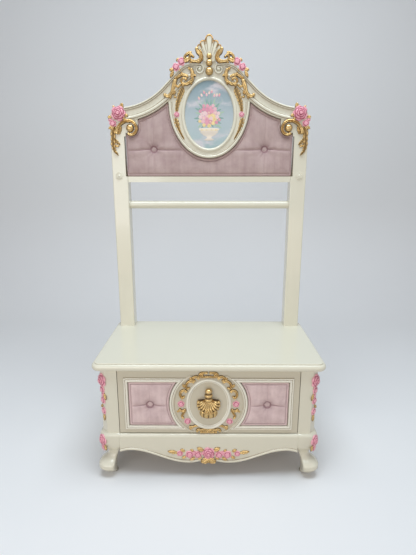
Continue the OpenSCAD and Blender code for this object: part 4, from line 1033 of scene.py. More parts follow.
CORNER_SCROLLS = [  # as CREST_SCROLLS
    ([(-317, 6), (-315, 22), (-306, 36.5), (-294, 45.5), (-281, 49.8), (-266, 49), (-253.5, 39), (-249, 23.5),
     (-255.5, 10.5), (-268.5, 5.5), (-280, 10.5)], 4.2, 3.8, 8, 0, 0, 2),
    ([(-311, 30), (-300, 41), (-286, 46.5), (-272, 45)], 2.4, 1.6, 6.6, 0, 0, 4.5),
    ([(-307, 36), (-303.5, 26), (-306.5, 14), (-313, 8)], 3.8, 2.4, 5.5, 4, 0, 0),
]
CORNER_SPINES = [  # as PLAQUE_SPRAY
    ([(-321, 34), (-328.5, 16), (-330.5, -3), (-331.5, -22), (-330, -38), (-325, -51), (-315.5, -62)],
     [6.5, 9, 7, 7.5, 5.5, 4, 1.5], 6.5, 7),
    ([(-326, -8), (-318, -18), (-309, -27)], [4, 5, 2], 5, 3),
    ([(-318, 30), (-314, 20), (-307, 9)], [3.5, 5, 2.2], 5.5, 2),
]
CORNER_LEAVES = [  # as CREST_LEAVES
    ((-300, 90), (-293, 107.5), 14, 5, 0.2), ((-288, 68), (-275, 66), 11, 5, 5),
    ((-333, 62), (-346, 62), 12, 5, 0.2), ((-328, 34), (-345, 24), 12, 4.5, 0.2),
    ((-326, -30), (-311, -33), 9, 4, 0.2), ((-318, 92), (-328, 98), 8, 3, 0.2), ((-292, 60), (-283, 52), 9, 4, 4),
]
SCROLL_BALL = ((-271, 26.5), 13.2, 11.5)
CORNER_WIDER, CORNER_LEAF_WIDER = 1.45, 1.3  # the gilt stands this much wider than the tables say


def model_corner_gilding():
    bm = new_work()
    for side in (1, -1):
        for path, w0, w1, h, nicks, eye, seat in CORNER_SCROLLS:
            ribbon(bm, path, w0 * CORNER_WIDER, w1 * CORNER_WIDER, h, side=side, seat=seat, nicks=nicks, eye=eye,
                   count=48, groove=0.4, back=ON_BOARD)
        for spine, widths, h, lobes in CORNER_SPINES:
            acanthus(bm, spine, [CORNER_LEAF_WIDER * w for w in widths], h, lobes, side, ON_BOARD)
        for foot, tip, w, h, seat in CORNER_LEAVES:
            leaf(bm, foot, tip, w, h, side=side, seat=seat, back=ON_BOARD)
        (x, z), r, h = SCROLL_BALL
        dome(bm, (side * x, z), r, h, seat=2.0, steps=40)
    finish_piece(bm, "corner_gilding", "gilt", ("corner_scrolls",), crease=65, at=ON_CREST)


WREATH = [  # path, half width at start and end, height, leafy nicks, eye radius
    ([(-2, 106), (-14, 107.5), (-25, 103.5), (-27.5, 97), (-21, 95), (-18.5, 100)], 3.2, 2.4, 5, 0, 2.6),
    ([(0, 94), (-12, 93), (-24, 91.5)], 3, 2, 4.2, 3, 0),
    ([(-28, 86.5), (-37, 93.5), (-46.5, 91), (-48.5, 83.5), (-43, 80.5)], 3.4, 2.4, 5, 0, 2.6),
    ([(-44, 73.5), (-53, 80), (-64, 74.5), (-70, 63), (-66, 53.5), (-60.5, 56)], 3.2, 2.4, 5, 0, 2.6),
    ([(-67, 41), (-76, 47.5), (-86, 42), (-88, 30), (-82, 21.5), (-77, 25.5)], 3.2, 2.6, 5, 0, 2.8),
    ([(-92.5, -16.5), (-84, -24), (-73.5, -20), (-77.5, -30), (-83.5, -41), (-80, -48)], 2.8, 2.4, 4.6, 0, 2.2),
    ([(-61.5, -78.5), (-52, -80.5), (-43.5, -76.5), (-33, -75)], 3.4, 2, 4.6, 3, 0),
    ([(-37, -97.5), (-33, -89.5), (-22, -91), (-19.5, -97.5), (-25, -98)], 3.2, 2.4, 4.8, 0, 2.2),
    ([(-20, -89), (-9, -88.5), (0, -92.5)], 3, 2.6, 4.4, 0, 0),
    ([(-18, -98), (-8, -98.8), (0, -97)], 2.6, 2.4, 4, 0, 0),
]
WREATH_LEAVES = (
    ((-57, 80), (-51, 93), 10, 3.5), ((-74, 56), (-80, 69), 9, 3.2), ((-89, -22), (-100, -28), 8, 3),
    ((-50, -82), (-61, -89), 8, 3),
)
WREATH_WIDER, WREATH_HIGHER, WREATH_EYE_WIDER = 1.65, 1.15, 1.45


def model_wreath():
    bm = new_work()
    for side in (1, -1):
        for path, w0, w1, h, nicks, eye in WREATH:
            ribbon(bm, path, w0 * WREATH_WIDER, w1 * WREATH_WIDER, h * WREATH_HIGHER, side=side, nicks=nicks,
                   eye=eye * WREATH_EYE_WIDER, groove=0.45)
        for foot, tip, w, h in WREATH_LEAVES:
            leaf(bm, foot, tip, w, h, side=side)
    finish_piece(bm, "wreath_gilding", "gilt", ("drawer_wreath",), crease=65, body="drawer", at=ON_DRAWER)


def post_plane(z, side=1):
    """The cut corner of a front post, and of the leg below it: local x runs to its right, local y inwards."""
    c = CHAMFER / 2
    out = BULGE * 1.2 if z < BASE_TOP else 0.2
    plane = (Matrix.Translation((-BODY_HALF + c, FACE_Y + c, z)) @ Matrix.Rotation(math.radians(-45), 4, "Z")
             @ Matrix.Translation((0, -out, 0)))
    return plane if side == 1 else Matrix.Diagonal((-1, 1, 1, 1)) @ plane


SPRAY_LEAVES = [  # foot, tip, width, height, how far above the rail
    ((-98, 91), (-131, 97.5), 13, 4, 0), ((-76, 96), (-90, 105), 11, 3.6, 0), ((-16, 99), (-37, 111), 15, 4.2, 0),
    ((-48, 97), (-58, 104), 9, 3, 0), ((-44, 74), (-60, 65), 11, 3.4, 0), ((-72, 78), (-86, 72), 10, 3.2, 0),
    ((-22, 76), (-34, 68), 10, 3.2, 0), ((-3, 74), (-21, 58), 17, 4.6, 1.2), ((0, 72), (-5, 55.5), 10, 4.2, 1.6),
]
POST_LEAVES = (  # height, foot, tip, width
    (287, (8, 8), (17, -12), 12), (214, (0, 6), (2, -17), 11), (110, (9, 8), (20, -8), 12),
    (247, (-6, 4), (-12, -8), 8),
)


def model_base_gilding():
    bm = new_work()
    seat = -FACE_Y + BULGE - 0.6
    for side in (1, -1):
        for foot, tip, w, h, above in SPRAY_LEAVES:
            leaf(bm, foot, tip, w, h, side=side, seat=seat + above)
        ribbon(bm, [(-6, 58), (-14, 56.5), (-22, 60), (-22, 68)], 3.0, 2.2, 4.0, side=side, seat=seat + 1.2)
        for z, foot, tip, w in POST_LEAVES:
            leaf(bm, foot, tip, w, 4.0, matrix=post_plane(z, side))
    finish_piece(bm, "base_gilding", "gilt", ("base_leaves",), crease=65)


# ---- roses

CREST_ROSES = (  # x, z, radius, seat, turn, depth
    (-91.5, 231.5, 13.4, 8, 0.4, 0.62), (-109.5, 215.5, 12.8, 8, 1.1, 0.62), (-110.2, 70.2, 9.4, 0.3, 0.2, 0.62),
    (-308.5, 74, 25.5, 1.6, 0.7, 0.6), (-329, 41.5, 12.5, 0.4, 0.1, 0.62), (-338, 54, 7, 0.4, 0.5, 0.62),
)
DRAWER_ROSES = ((-86, 0.5, 11.2, 0.3, 0.3, 0.62), (-66.5, -60.3, 10.8, 0.3, 0.9, 0.62))
SPRAY_ROSES = ((-34, 85.5, 13, 0.2), (-60.5, 86, 14, 0.8), (-92, 89.5, 10.5, 0.4), (-47, 93, 7, 0.1))
POST_ROSES = (  # z, radius, turn, x, squash, depth
    (338, 20.5, 0.1, 0, 1.08, 0.62), (304.5, 12, 0.5, -1.5, 1.08, 0.62), (287, 9.5, 0.9, 2, 1.08, 0.62),
    (269, 12, 1.3, 0, 1.08, 0.62), (231, 11.5, 0.2, 0, 1.08, 0.62), (131, 18.5, 0.6, 0, 1.15, 0.55),
    (107, 11, 0.6, 1, 1.2, 0.55),
)


def model_roses():
    for name, rows, at, settings in (
            ("headboard", CREST_ROSES, ON_CREST, {}), ("drawer", DRAWER_ROSES, ON_DRAWER, {"body": "drawer"})):
        bm = new_work()
        for side in (1, -1):
            for x, z, r, seat, turn, depth in rows:
                rose(bm, x, z, r, side=side, seat=seat, matrix=Matrix.Translation(at), turn=turn, depth=depth)
        finish_piece(bm, name + "_carved_roses", "rose_paint", (name + "_roses",), crease=70, **settings)
    bm = new_work()
    seat = BULGE - 0.4
    spray = Matrix.Translation((0, FACE_Y, 0))
    rose(bm, 0, 91.5, 21, seat=seat + 0.8, matrix=spray, depth=0.5)
    for side in (1, -1):
        for x, z, r, turn in SPRAY_ROSES:
            rose(bm, x, z, r, side=side, seat=seat, matrix=spray, turn=turn, depth=0.5)
        for z, r, turn, dx, squash, depth in POST_ROSES:
            rose(bm, dx, 0, r, matrix=post_plane(z, side), turn=turn, squash=squash, depth=depth)
    finish_piece(bm, "base_carved_roses", "rose_paint", ("base_roses",), crease=70)


# ---- drawer

RING = 122  # radius of the round middle
PAD_HALF = 76.5  # half height of a window
PAD_X1 = DRAWER_HALF - 31  # its outer side


def window_outline(g, count=28):
    """The right-hand window grown by g: up its outer side, across, and down along the round middle."""
    h = PAD_HALF + g
    x = PAD_X1 + g
    r = RING - g
    a = math.asin(h / r)
    side = [(x, -h + 2 * h * k / 12) for k in range(13)]
    x_in = r * math.cos(a)
    across = [(x + (x_in - x) * k / 10, h) for k in range(1, 10)]
    arc = [(r * math.cos(a - 2 * a * k / count), r * math.sin(a - 2 * a * k / count)) for k in range(count + 1)]
    return side + across + arc + [(p[0], -h) for p in reversed(across)]


WINDOW_PROFILE = [
    (-0.4, -4), (-0.3, 2.8), (0.4, 4.4), (1.6, 5.4), (3.2, 5.8), (4.8, 5.3), (5.8, 4.6), (6.4, 3.6), (7, 3),
    (8, 2.9), (8.8, 3.3), (9.8, 3.8), (11, 3.6), (12, 2.6), (12.6, 1.2), (12.8, 0.1),
]


def model_windows():
    bm = new_work()
    rows = [window_outline(g) for g, _ in WINDOW_PROFILE]
    count = len(rows[0])
    for side in (1, -1):
        def place(u, v):
            i = round(v * (len(rows) - 1))
            x, z = rows[i][round(u * count) % count]
            g, h = WINDOW_PROFILE[i]
            return x * side, h, z, 1 - max(gauss(g - 7.2, 1.2), gauss(g - 12.7, 1.0))

        carve(bm, count, len(rows) - 1, place, -0.2, ring=True)
    finish_piece(bm, "window_mouldings", "lacquer_trim", crease=42, body="drawer", at=ON_DRAWER)


MEDALLION_A, MEDALLION_B = 71, 87
MEDALLION_PROFILE = [
    (0, 0.1), (0.3, 2.4), (1.4, 4.6), (3.2, 5.8), (5.2, 6), (7, 5), (8.2, 3.6), (9, 2.2), (10.4, 1.5), (12, 1.2),
]


def model_medallion():
    bm = new_work()
    ring_form(bm, MEDALLION_A, MEDALLION_B, MEDALLION_PROFILE, 9.4)
    finish_piece(bm, "medallion_moulding", "lacquer_trim", ("medallion_rim",), crease=60, body="drawer", at=ON_DRAWER)


PULL_BASE = 215.5  # height of its lowest point
PULL_DEPTH = 0.62  # its lower tier's depth to width
# The fan: its ribs, the height of its centre above the base, half its spread, and its reach by angle
FAN_RIBS = 11
FAN_TOP = 66
FAN_SPREAD = 83
FAN_REACH = [(0, 47.0), (20, 47.5), (38, 46.5), (55, 43.5), (70, 39.5), (83, 34.0)]
CUPS = [(0, 30), (20, 28), (24.5, 23), (27, 16), (26.8, 10), (24.6, 5), (20, 2.2), (12, 1.2), (0, 1)]
NECK = [
    (0, 58), (10.5, 62), (12.4, 66), (12.6, 69.5), (10.8, 72.3), (8.2, 74), (8.2, 75.6), (11.2, 77.4),
    (12.8, 80.4), (12.8, 83.4), (11.4, 86), (8.4, 88), (8.4, 89), (10.2, 91.4), (11, 95), (10.5, 98.4),
    (8.4, 101.4), (4.6, 103.2), (0, 103.8),
]
NECK_RINGS = (59.5, 74.8, 88.5)  # heights of its grooves, darkened with painted shade
NECK_OUT = 12  # how far it stands in front of the drawer


def model_pull():
    """The pull: a fan of ribs that spreads down from the neck, a tier of cups below it, a turned ball on top."""
    bm = new_work()
    z0 = PULL_BASE

    def fan(u, v):
        phi = FAN_SPREAD * (2 * u - 1)
        wave = 1 - abs(2 * ((u * FAN_RIBS) % 1) - 1) ** 3
        r = 7 + (read_curve(FAN_REACH, abs(phi))[0] * (0.92 + 0.08 * wave) - 7) * v
        body = (9 + 13 * ease(v / 0.62) - 8.5 * ease((v - 0.6) / 0.4)) * (1 - 0.3 * (phi / FAN_SPREAD) ** 4)
        high = body + 5.5 * v ** 0.8 * (wave - 0.6) + 1.8 * gauss(v - 0.93, 0.05)
        down, x = polar(r, phi)
        return x, high, z0 + FAN_TOP - down, clamp(1.1 * wave - 0.5 * gauss(v - 0.84, 0.04))

    def cups(p):
        r = math.hypot(p.x, p.y)
        wave = abs(math.cos(5 * math.atan2(p.y, p.x))) ** 0.8
        k = 1 + 0.13 * (wave - 0.6) * min(1.0, r / 26) ** 1.5
        return Vector((p.x * k, p.y * k, p.z + 2.0 * (wave - 0.6) * ease((r - 20) / 8))), min(1.0, 1.1 * wave)

    def neck(p):
        return p, max(0.0, 0.9 - 1.1 * max(gauss(p.z - h, 2.4) for h in NECK_RINGS))

    carve(bm, FAN_RIBS * 8, 22, fan, 3)
    lathe(bm, CUPS, (0, 0, z0), (0, 0, 1), steps=100, flatten=PULL_DEPTH, form=cups)
    for side in (1, -1):
        leaf(bm, (-1, z0 + 40), (-12, z0 + 19), 11, 4.5, side=side, seat=17.0, back=6)
    leaf(bm, (0, z0 + 42), (0, z0 + 17), 12, 5.5, seat=17.5, back=6)
    for v in lathe(bm, NECK, (0, 0, z0), (0, 0, 1), flatten=0.9, form=neck):
        v.co.y -= NECK_OUT
    for v in bm.verts:
        v.co.y = min(-0.2, v.co.y)
    finish_piece(bm, "crown_pull_cast", "gilt", ("crown_pull",), crease=50, body="drawer", at=(0, FACE_Y - 0.2, 0))


# ---- picture

LEAF_DARK, LEAF_LIGHT = (0.10, 0.30, 0.26), (0.30, 0.48, 0.34)
PINKS = ((0.76, 0.26, 0.38), (0.80, 0.42, 0.50), (0.85, 0.58, 0.60), (0.66, 0.19, 0.32))
GOLDS = ((0.86, 0.62, 0.22), (0.93, 0.78, 0.42))
BOWL = [(30, -44), (31, -47), (27, -56), (19, -64), (10, -68), (6, -72), (9, -77), (15, -80)]  # half width, height
GOLDEN_ANGLE = 137.508  # degrees from each flower to the next
DAB_STEP = 0.0018  # each dab of paint lies this much above the last


def model_picture():
    """A generic painting: a sky with a loose posy of roses, buds and leaves in a footed bowl."""
    bm = new_work()

    def board(u, v):
        a = 2 * math.pi * u
        return 85.3 * v * math.cos(a), -0.5, 110.8 * v * math.sin(a), 1

    carve(bm, 72, 14, board, -4.4)
    finish_piece(bm, "painted_board", "sky", ("oval_picture",), crease=60, at=ON_OVAL)

    bm = new_work()
    colour = bm.verts.layers.float_color.new("paint")
    level = [0.0]

    def dab(x, z, w, h, turn, shade, lobes=0):
        level[0] += DAB_STEP
        c, s = polar(1, turn)

        def place(u, v):
            a = 2 * math.pi * u
            k = v * (1 + 0.14 * math.cos(lobes * a)) if lobes else v
            px, pz = w * k * math.cos(a), h * k * math.sin(a)
            if not lobes:
                px *= 1 - 0.45 * (pz / h)
            return x + px * c - pz * s, -0.42 + level[0] + 0.12 * (1 - v * v), z + px * s + pz * c, 1

        for v in carve(bm, 24 if lobes else 14, 2, place, -0.5):
            v[colour] = (*shade, 1)

    for k in range(46):
        a = (k * GOLDEN_ANGLE) % 360
        x, z = polar(9 + 7.4 * math.sqrt(k), a)
        if -6 + z * 0.92 >= -44:
            dab(x * 0.78, -6 + z * 0.92, 3.0, 9.5, a - 90, LEAF_DARK if k % 3 else LEAF_LIGHT)
    for k in range(9):
        x = -34 + 8.5 * k
        dab(x, 34 + 16 * math.cos(math.radians(12 * (k - 4) * 2)), 0.7, 26, -1.1 * x, LEAF_LIGHT)
    for k in range(34):
        a = (k * GOLDEN_ANGLE + 40) % 360
        x, z = polar(6.6 * math.sqrt(k), a)
        x, z = x * 0.98, -4 + z * 1.02
        if z < -36 - abs(x) * 0.1:
            continue
        size = 8.6 - 0.11 * k
        shade = PINKS[k % 4] if k % 5 else GOLDS[0]
        dab(x, z, size, size, a, shade, lobes=5)
        dab(x, z, size * 0.66, size * 0.66, a + 36, tuple(min(1, c * 1.12 + 0.04) for c in shade), lobes=5)
        dab(x, z, size * 0.3, size * 0.3, a, GOLDS[1] if k % 2 else tuple(c * 0.75 for c in shade), lobes=4)
    for k in range(9):
        x = -36 + 9 * k
        z = 52 + 13 * math.cos(math.radians(24 * (k - 4) * 0.9)) + (k % 3) * 5
        dab(x * 0.96, z, 3.4, 5.2, -x, PINKS[(k + 1) % 3])
        dab(x * 0.96, z + 2.5, 2.0, 3.2, -x, GOLDS[k % 2])
    for k in range(24):
        t = k / 23
        width, z = read_curve([(i / 7, w, y) for i, (w, y) in enumerate(BOWL)], t)
        tint = 0.80 + 0.10 * math.cos(9 * t)
        dab(0, z, width, 2.9, 0, (tint, tint * 0.86, tint * 0.72), lobes=2)
    for k in range(7):
        dab(-24 + 8 * k, -48, 4.2, 2.2, 0, GOLDS[k % 2], lobes=3)
    finish_piece(bm, "painted_posy", "petals", crease=60, at=ON_OVAL)


# ---- upholstery

OPEN_HALF = 293  # half width of the opening between the posts
PAD_DROP = 133.5  # from the posts' tops down to the pad's lower edge
TUFT = (192.5, -42)  # place of the button from the middle
SCROLL_X, SCROLL_Z, SCROLL_R = 270, 31, 25  # the corner scroll that the pad runs round
DRAWER_TUFT = (PAD_X1 - 67, -4)
BUTTON_SINK = 1.5  # how far a button sits in its tuft
PRESSURE, CLOTH_FRAMES = 4, 20
CLOTH_SHARE = 0.5  # how much of the cloth's movement the pads keep


def headboard_edge(x, z):
    """Distance of a point of the pad from its border."""
    u = abs(x)
    d = min(OPEN_HALF - u, z + PAD_DROP)
    oval = math.hypot(u / PLAQUE_A, (z - PLAQUE_Z) / PLAQUE_B)
    if u < PLAQUE_A + 25:
        d = min(d, (oval - 1) * (PLAQUE_A + PLAQUE_B) / 2)
    if u > PLAQUE_A:
        reach = math.hypot(u - HOLLOW_X, z - HOLLOW_Z)
        d = min(d, reach - HOLLOW_R - ARM_WIDTH if u < HOLLOW_X else 999)
    if z > -10:
        d = min(d, math.hypot(u - SCROLL_X, z - SCROLL_Z) - SCROLL_R)
    return max(0.0, d)


def drawer_edge(x, z):
    u = abs(x)
    return max(0.0, min(PAD_X1 - u, PAD_HALF - abs(z), math.hypot(u, z) - RING))


PADS = {  # depth at the border and in the field, tuft depth and reach, voxel, cap on the cloth's movement, button
    "headboard": (8.0, 0.5, 10.0, 16, 0.005, 8.0, 11.0),
    "drawer": (2.5, -6.0, 9.5, 14, 0.004, 5.0, 11.0),
}


def cloth_form(obj, edge, local, tufts, back, cap):
    """How far the cloth comes forward at each vertex, in millimetres, when it is blown up under pressure."""
    rest = [v.co.copy() for v in obj.data.vertices]

    def hold(p):
        x, z = local(p)
        rim = ease((12 - edge(x, z)) / 8)
        tuft = max(gauss(math.hypot(x - tx, z - tz), 9) for tx, tz in tufts)
        return min(1.0, max(rim, tuft, 1.0 if p.y > back - 0.004 else 0.0))

    held = [hold(p) for p in rest]
    group = obj.vertex_groups.new(name="held")
    for i, weight in enumerate(held):
        group.add([i], weight, "REPLACE")
    cloth = obj.modifiers.new("cloth", "CLOTH")
    cloth.settings.use_pressure = True
    cloth.settings.uniform_pressure_force = PRESSURE
    cloth.settings.effector_weights.gravity = 0
    cloth.settings.vertex_group_mass = "held"
    cloth.settings.quality = 5
    cloth.collision_settings.use_collision = False
    for k in range(1, CLOTH_FRAMES + 1):
        bpy.context.scene.frame_set(k)
    bake_modifiers(obj)
    bpy.context.scene.frame_set(1)
    moved = [(v.co.y - p.y) * 1000 for v, p in zip(obj.data.vertices, rest)]
    for v, p in zip(obj.data.vertices, rest):
        v.co = p
    obj.vertex_groups.clear()
    return [min(cap, max(-cap, m)) * (1 - w) for m, w in zip(moved, held)]


def sewn(x, z, edge, tufts, kind):
    """How far the front is drawn in at a point by its border, tufts and pleats, and how dark it is painted there: the
    sewn lines, and painted shade in the tufts and folds, round the buttons, under the pleat and along the border.
    """
    rim, crown, depth, reach, _, _, knob = PADS[kind]
    e = edge(x, z)
    inner = 1 - math.exp(-e / 11)
    push = crown + (rim - crown) * (1 - inner)
    line = max(0.9 * gauss(e, 2.6), 0.8 * gauss(e - 9, 1.3), 0.2 if e < 9 else 0)
    push += 1.8 * gauss(e - 9, 2.0) - 1.2 * gauss(e - 4.5, 3.0)
    for tx, tz in tufts:
        dx, dz = x - tx, z - tz
        d = math.hypot(dx, dz)
        a = math.atan2(dz, dx)
        fold = 0.5 + 0.5 * math.cos(7 * a + 1.7 * math.sin(3 * a))
        push += 0.8 * depth * gauss(d, reach) + 0.55 * depth * gauss(d, 2.8 * reach)
        push += 1.5 * fold * gauss(d - 1.2 * reach, reach)
        line = max(line, gauss(d, 0.95 * reach), 0.6 * fold * gauss(d - 0.9 * reach, 0.7 * reach),
                   0.55 * gauss(d, 2.1 * reach), 0.95 * gauss(d - knob, 3.2))
        near = inner * ease((e - 9) / 4)
        if abs(dx) < 140:
            dip = z - tz + 1.8 - 2.6 * math.cos(dx * 0.035) * (1 if dx * tx > 0 else 0.4)
            push += 2.6 * gauss(dip, 3.0) * near - 1.2 * gauss(abs(dip) - 13, 10) * near
            line = max(line, 0.85 * gauss(dip + 0.8, 1.7) * near, 0.22 * gauss(dip + 3, 7) * near)
        push += 1.5 * gauss(dx, 3.2) * near - 0.7 * gauss(abs(dx) - 12, 9) * near
        line = max(line, 0.42 * gauss(dx, 1.9) * near)
    push += 0.5 * noise.noise(Vector((x * 0.028, 0, z * 0.028))) + 0.25 * noise.noise(Vector((x * 0.09, 3, z * 0.09)))
    return push, min(1.0, line)


def cushion(name, body, packed, edge, centre_z, front_y, tufts, kind):
    """A tufted pad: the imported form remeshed, blown up as cloth between border and buttons, and sewn."""
    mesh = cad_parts[packed].data.copy()
    obj = bpy.data.objects.new(name, mesh)
    bpy.context.scene.collection.objects.link(obj)
    work = bmesh.new()
    work.from_mesh(mesh)
    bmesh.ops.remove_doubles(work, verts=work.verts, dist=1e-5)
    work.to_mesh(mesh)
    work.free()
    remesh = obj.modifiers.new("remesh", "REMESH")
    remesh.mode = "VOXEL"
    remesh.voxel_size = PADS[kind][4]
    bake_modifiers(obj)
    back = max(v.co.y for v in obj.data.vertices)

    def local(p):
        return p.x * 1000, p.z * 1000 - centre_z

    blown = [0.0] * len(obj.data.vertices)
    blown = cloth_form(obj, edge, local, tufts, back, PADS[kind][5])
    mean = sum(blown) / len(blown)
    work = bmesh.new()
    work.from_mesh(obj.data)
    forward = work.verts.layers.float.new("forward")
    for v, amount in zip(work.verts, blown):
        v[forward] = (amount - mean) * CLOTH_SHARE
    bmesh.ops.subdivide_edges(work, edges=work.edges, cuts=1, use_grid_fill=True)
    seam_and_shade = work.verts.layers.float.new("seam_and_shade")
    for v in work.verts:
        x, z = local(v.co)
        front = ease((back * 1000 - 2.5 - v.co.y * 1000) / 3)
        push, line = sewn(x, z, edge, tufts, kind)
        v.co.y += ((front_y + push + v[forward]) / 1000 - v.co.y) * front
        # the seam and shade attribute: sewn lines and painted shade, on the front only
        v[seam_and_shade] = line * front
    work.verts.layers.float.remove(work.verts.layers.float["forward"])
    for f in work.faces:
        f.smooth = True
    bmesh.ops.recalc_face_normals(work, faces=work.faces)
    work.to_mesh(obj.data)
    work.free()
    obj.data.name = name
    obj.data.materials.clear()
    # the drawer's pads take the paler copy of the cloth, painted light and sheen
    obj.data.materials.append(finish_material("upholstery" if kind == "headboard" else "upholstery_lit"))
    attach(obj, body)
    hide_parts(packed)


def bake_modifiers(obj):
    """Puts the evaluated mesh in the object and takes its modifiers off."""
    depsgraph = bpy.context.evaluated_depsgraph_get()
    made = bpy.data.meshes.new_from_object(obj.evaluated_get(depsgraph), preserve_all_data_layers=True,
                                           depsgraph=depsgraph)
    old = obj.data
    obj.modifiers.clear()
    obj.data = made
    bpy.data.meshes.remove(old)


def button(bm, x, z, edge, tufts, kind, at):
    """A covered button: a low dome gathered under at its rim, sunk in its tuft."""
    r = PADS[kind][6]
    profile = [(0, 5.2), (r * 0.35, 5), (r * 0.65, 4.2), (r * 0.88, 2.9), (r, 1.3), (r * 0.96, 0.2),
               (r * 0.8, -0.8), (0, -1)]
    y = at[1] + sewn(x, z, edge, tufts, kind)[0] - BUTTON_SINK
    lathe(bm, profile, (x, y, at[2] + z), (0, -1, 0), steps=32)


def model_upholstery():
    tufts = [(side * TUFT[0], TUFT[1]) for side in (-1, 1)]
    cushion("headboard_cushion", "rack", "headboard_pad", headboard_edge, CREST_Z, POST_Y, tufts, "headboard")
    bm = new_work()
    for x, z in tufts:
        button(bm, x, z, headboard_edge, tufts, "headboard", ON_CREST)
    mark_seams_and_shade(finish_piece(bm, "headboard_covered_buttons", "upholstery", ("headboard_buttons",), crease=70))
    bm = new_work()
    for side, label in SIDES:
        tufts = [(side * DRAWER_TUFT[0], DRAWER_TUFT[1])]
        cushion("drawer_cushion_" + label, "drawer", "drawer_pad_" + label, drawer_edge, DRAWER_Z, FACE_Y, tufts,
                "drawer")
        button(bm, *tufts[0], drawer_edge, tufts, "drawer", ON_DRAWER)
    mark_seams_and_shade(finish_piece(bm, "drawer_covered_buttons", "upholstery_lit", ("drawer_buttons",), crease=70,
                            body="drawer"))


def mark_seams_and_shade(obj):
    """Buttons carry the seam and shade attribute too: painted shade where the cloth is gathered under at the rim."""
    layer = obj.data.attributes.new("seam_and_shade", "FLOAT", "POINT")
    low = min(v.co.y for v in obj.data.vertices)
    for i, v in enumerate(obj.data.vertices):
        layer.data[i].value = 0.7 * ease((v.co.y - low - 0.0035) / 0.002)


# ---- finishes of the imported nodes

def both(*names):
    return tuple(f"{name}_{label}" for name in names for _, label in SIDES)


PACKED_FINISH = {
    "timber": ("back_panel", "carcass_floor", "stretcher_front", "stretcher_back", "rear_apron", "drawer_back",
               "drawer_bottom", "headboard_back") + both("runner_rail", "drawer_side"),
    "steel": ("post_bolts", "pull_screw") + both("runner_cabinet", "runner_middle", "runner_drawer"),
    "glide": ("floor_glides",),
    # the drawer front takes the darker copy of the ivory, painted shade
    "lacquer_field_shaded": ("drawer_front",),
    "lacquer_plain": ("panel_rail", "hanging_rail", "headboard_frame", "post_rosettes")
    + both("pilaster", "rear_stile", "side_panel", "post"),
}


def finish_packed_nodes():
    for finish, names in PACKED_FINISH.items():
        for name in names:
            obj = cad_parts[name]
            if not obj.material_slots:
                obj.data.materials.append(None)
            for slot in obj.material_slots:
                slot.material = finish_material(finish)


# ---- stage

def area_light(name, size, power, place, aim, colour):
    data = bpy.data.lights.new(name, "AREA")
    data.shape = "RECTANGLE"
    data.size, data.size_y = size
    data.energy = power
    data.color = colour
    obj = bpy.data.objects.new(name, data)
    obj.location = place
    obj.rotation_euler = (Vector(aim) - Vector(place)).to_track_quat("-Z", "Y").to_euler()
    bpy.context.scene.collection.objects.link(obj)


def seen_directly(tree):
    """1 where the camera or a mirror image looks at the stage, 0 where the stage lights the rack."""
    path = tree.nodes.new("ShaderNodeLightPath").outputs
    return calc(tree, "MAXIMUM", path["Is Camera Ray"], calc(
        tree, "MAXIMUM", path["Is Glossy Ray"], path["Is Transmission Ray"]))


def sweep(y):
    """The floor at y from -6 to 6: flat, then rolled up in a quarter circle to an upright backdrop."""
    t = (y + 6) / 12
    if t < 0.55:
        return -6 + t / 0.55 * 7.2, 0
    a = (t - 0.55) / 0.45
    turn = min(1.0, a / 0.5) * math.pi / 2
    return 1.2 + 0.8 * math.sin(turn), 0.8 * (1 - math.cos(turn)) + max(0.0, a - 0.5) / 0.5 * 3.2


CAMERA_PLACE = (0.0059, -1.2866, 0.9292)
CAMERA_DOWN, CAMERA_LEFT = 13.349, 0.398  # degrees
LAMPS = (  # name, size, share of the key's power, place, aim, colour
    ("key", (1.8, 1.0), 1, (-1.3, -2.2, 1.0), (0, 0, 0.4), (1.0, 0.975, 0.94)),
    ("fill", (1.6, 1.2), 0.3, (1.9, -1.8, 1.2), (0, 0, 0.6), (1.0, 0.96, 0.91)),
    ("low", (2.4, 0.6), 0.45, (0, -2.3, 0.35), (0, 0, 0.3), (1.0, 0.86, 0.70)),
    ("top", (2.2, 1.4), 4.5, (0.1, -0.5, 3.0), (0, 0.0, 0.5), (0.84, 0.94, 1.0)),
)


def model_stage():
    scene = bpy.context.scene
    settings = scene.rack_stage
    scene.view_settings.view_transform = "Standard"
    data = bpy.data.cameras.new("photo_camera")
    data.sensor_width = 36
    data.sensor_fit = "AUTO"
    data.lens = settings.lens
    camera = bpy.data.objects.new("photo_camera", data)
    camera.location = CAMERA_PLACE
    camera.rotation_euler = (math.radians(90 - CAMERA_DOWN), 0, math.radians(CAMERA_LEFT))
    scene.collection.objects.link(camera)
    scene.camera = camera

    bm = bmesh.new()
    for v in bmesh.ops.create_grid(bm, x_segments=1, y_segments=48, size=6)["verts"]:
        v.co.yz = sweep(v.co.y)
    for f in bm.faces:
        f.smooth = True
    mesh = bpy.data.meshes.new("studio_floor")
    bm.to_mesh(mesh)
    bm.free()
    floor = bpy.data.objects.new("studio_floor", mesh)
    scene.collection.objects.link(floor)
    material, tree, shader, place = start_material("Studio floor")
    pale = mix_colour(tree, noise_node(tree, place, 1.5, 3.0), (0.84, 0.84, 0.86, 1), (0.87, 0.87, 0.89, 1))
    feed(tree, shader, {"Base Color": mix_colour(tree, seen_directly(tree), (0.60, 0.57, 0.53, 1), pale),
                        "Roughness": 0.8})
    mesh.materials.append(material)

    scene.world = bpy.data.worlds.new("Studio")
    scene.world.use_nodes = True
    tree = scene.world.node_tree
    feed(tree, tree.nodes["Background"].inputs, {
        "Color": (0.95, 0.97, 1.0, 1),
        "Strength": calc(tree, "MULTIPLY_ADD", seen_directly(tree), 0.58, settings.ambient)})
    for name, size, share, place, aim, colour in LAMPS:
        area_light(name, size, settings.key * share, place, aim, colour)


# ---- the add-on

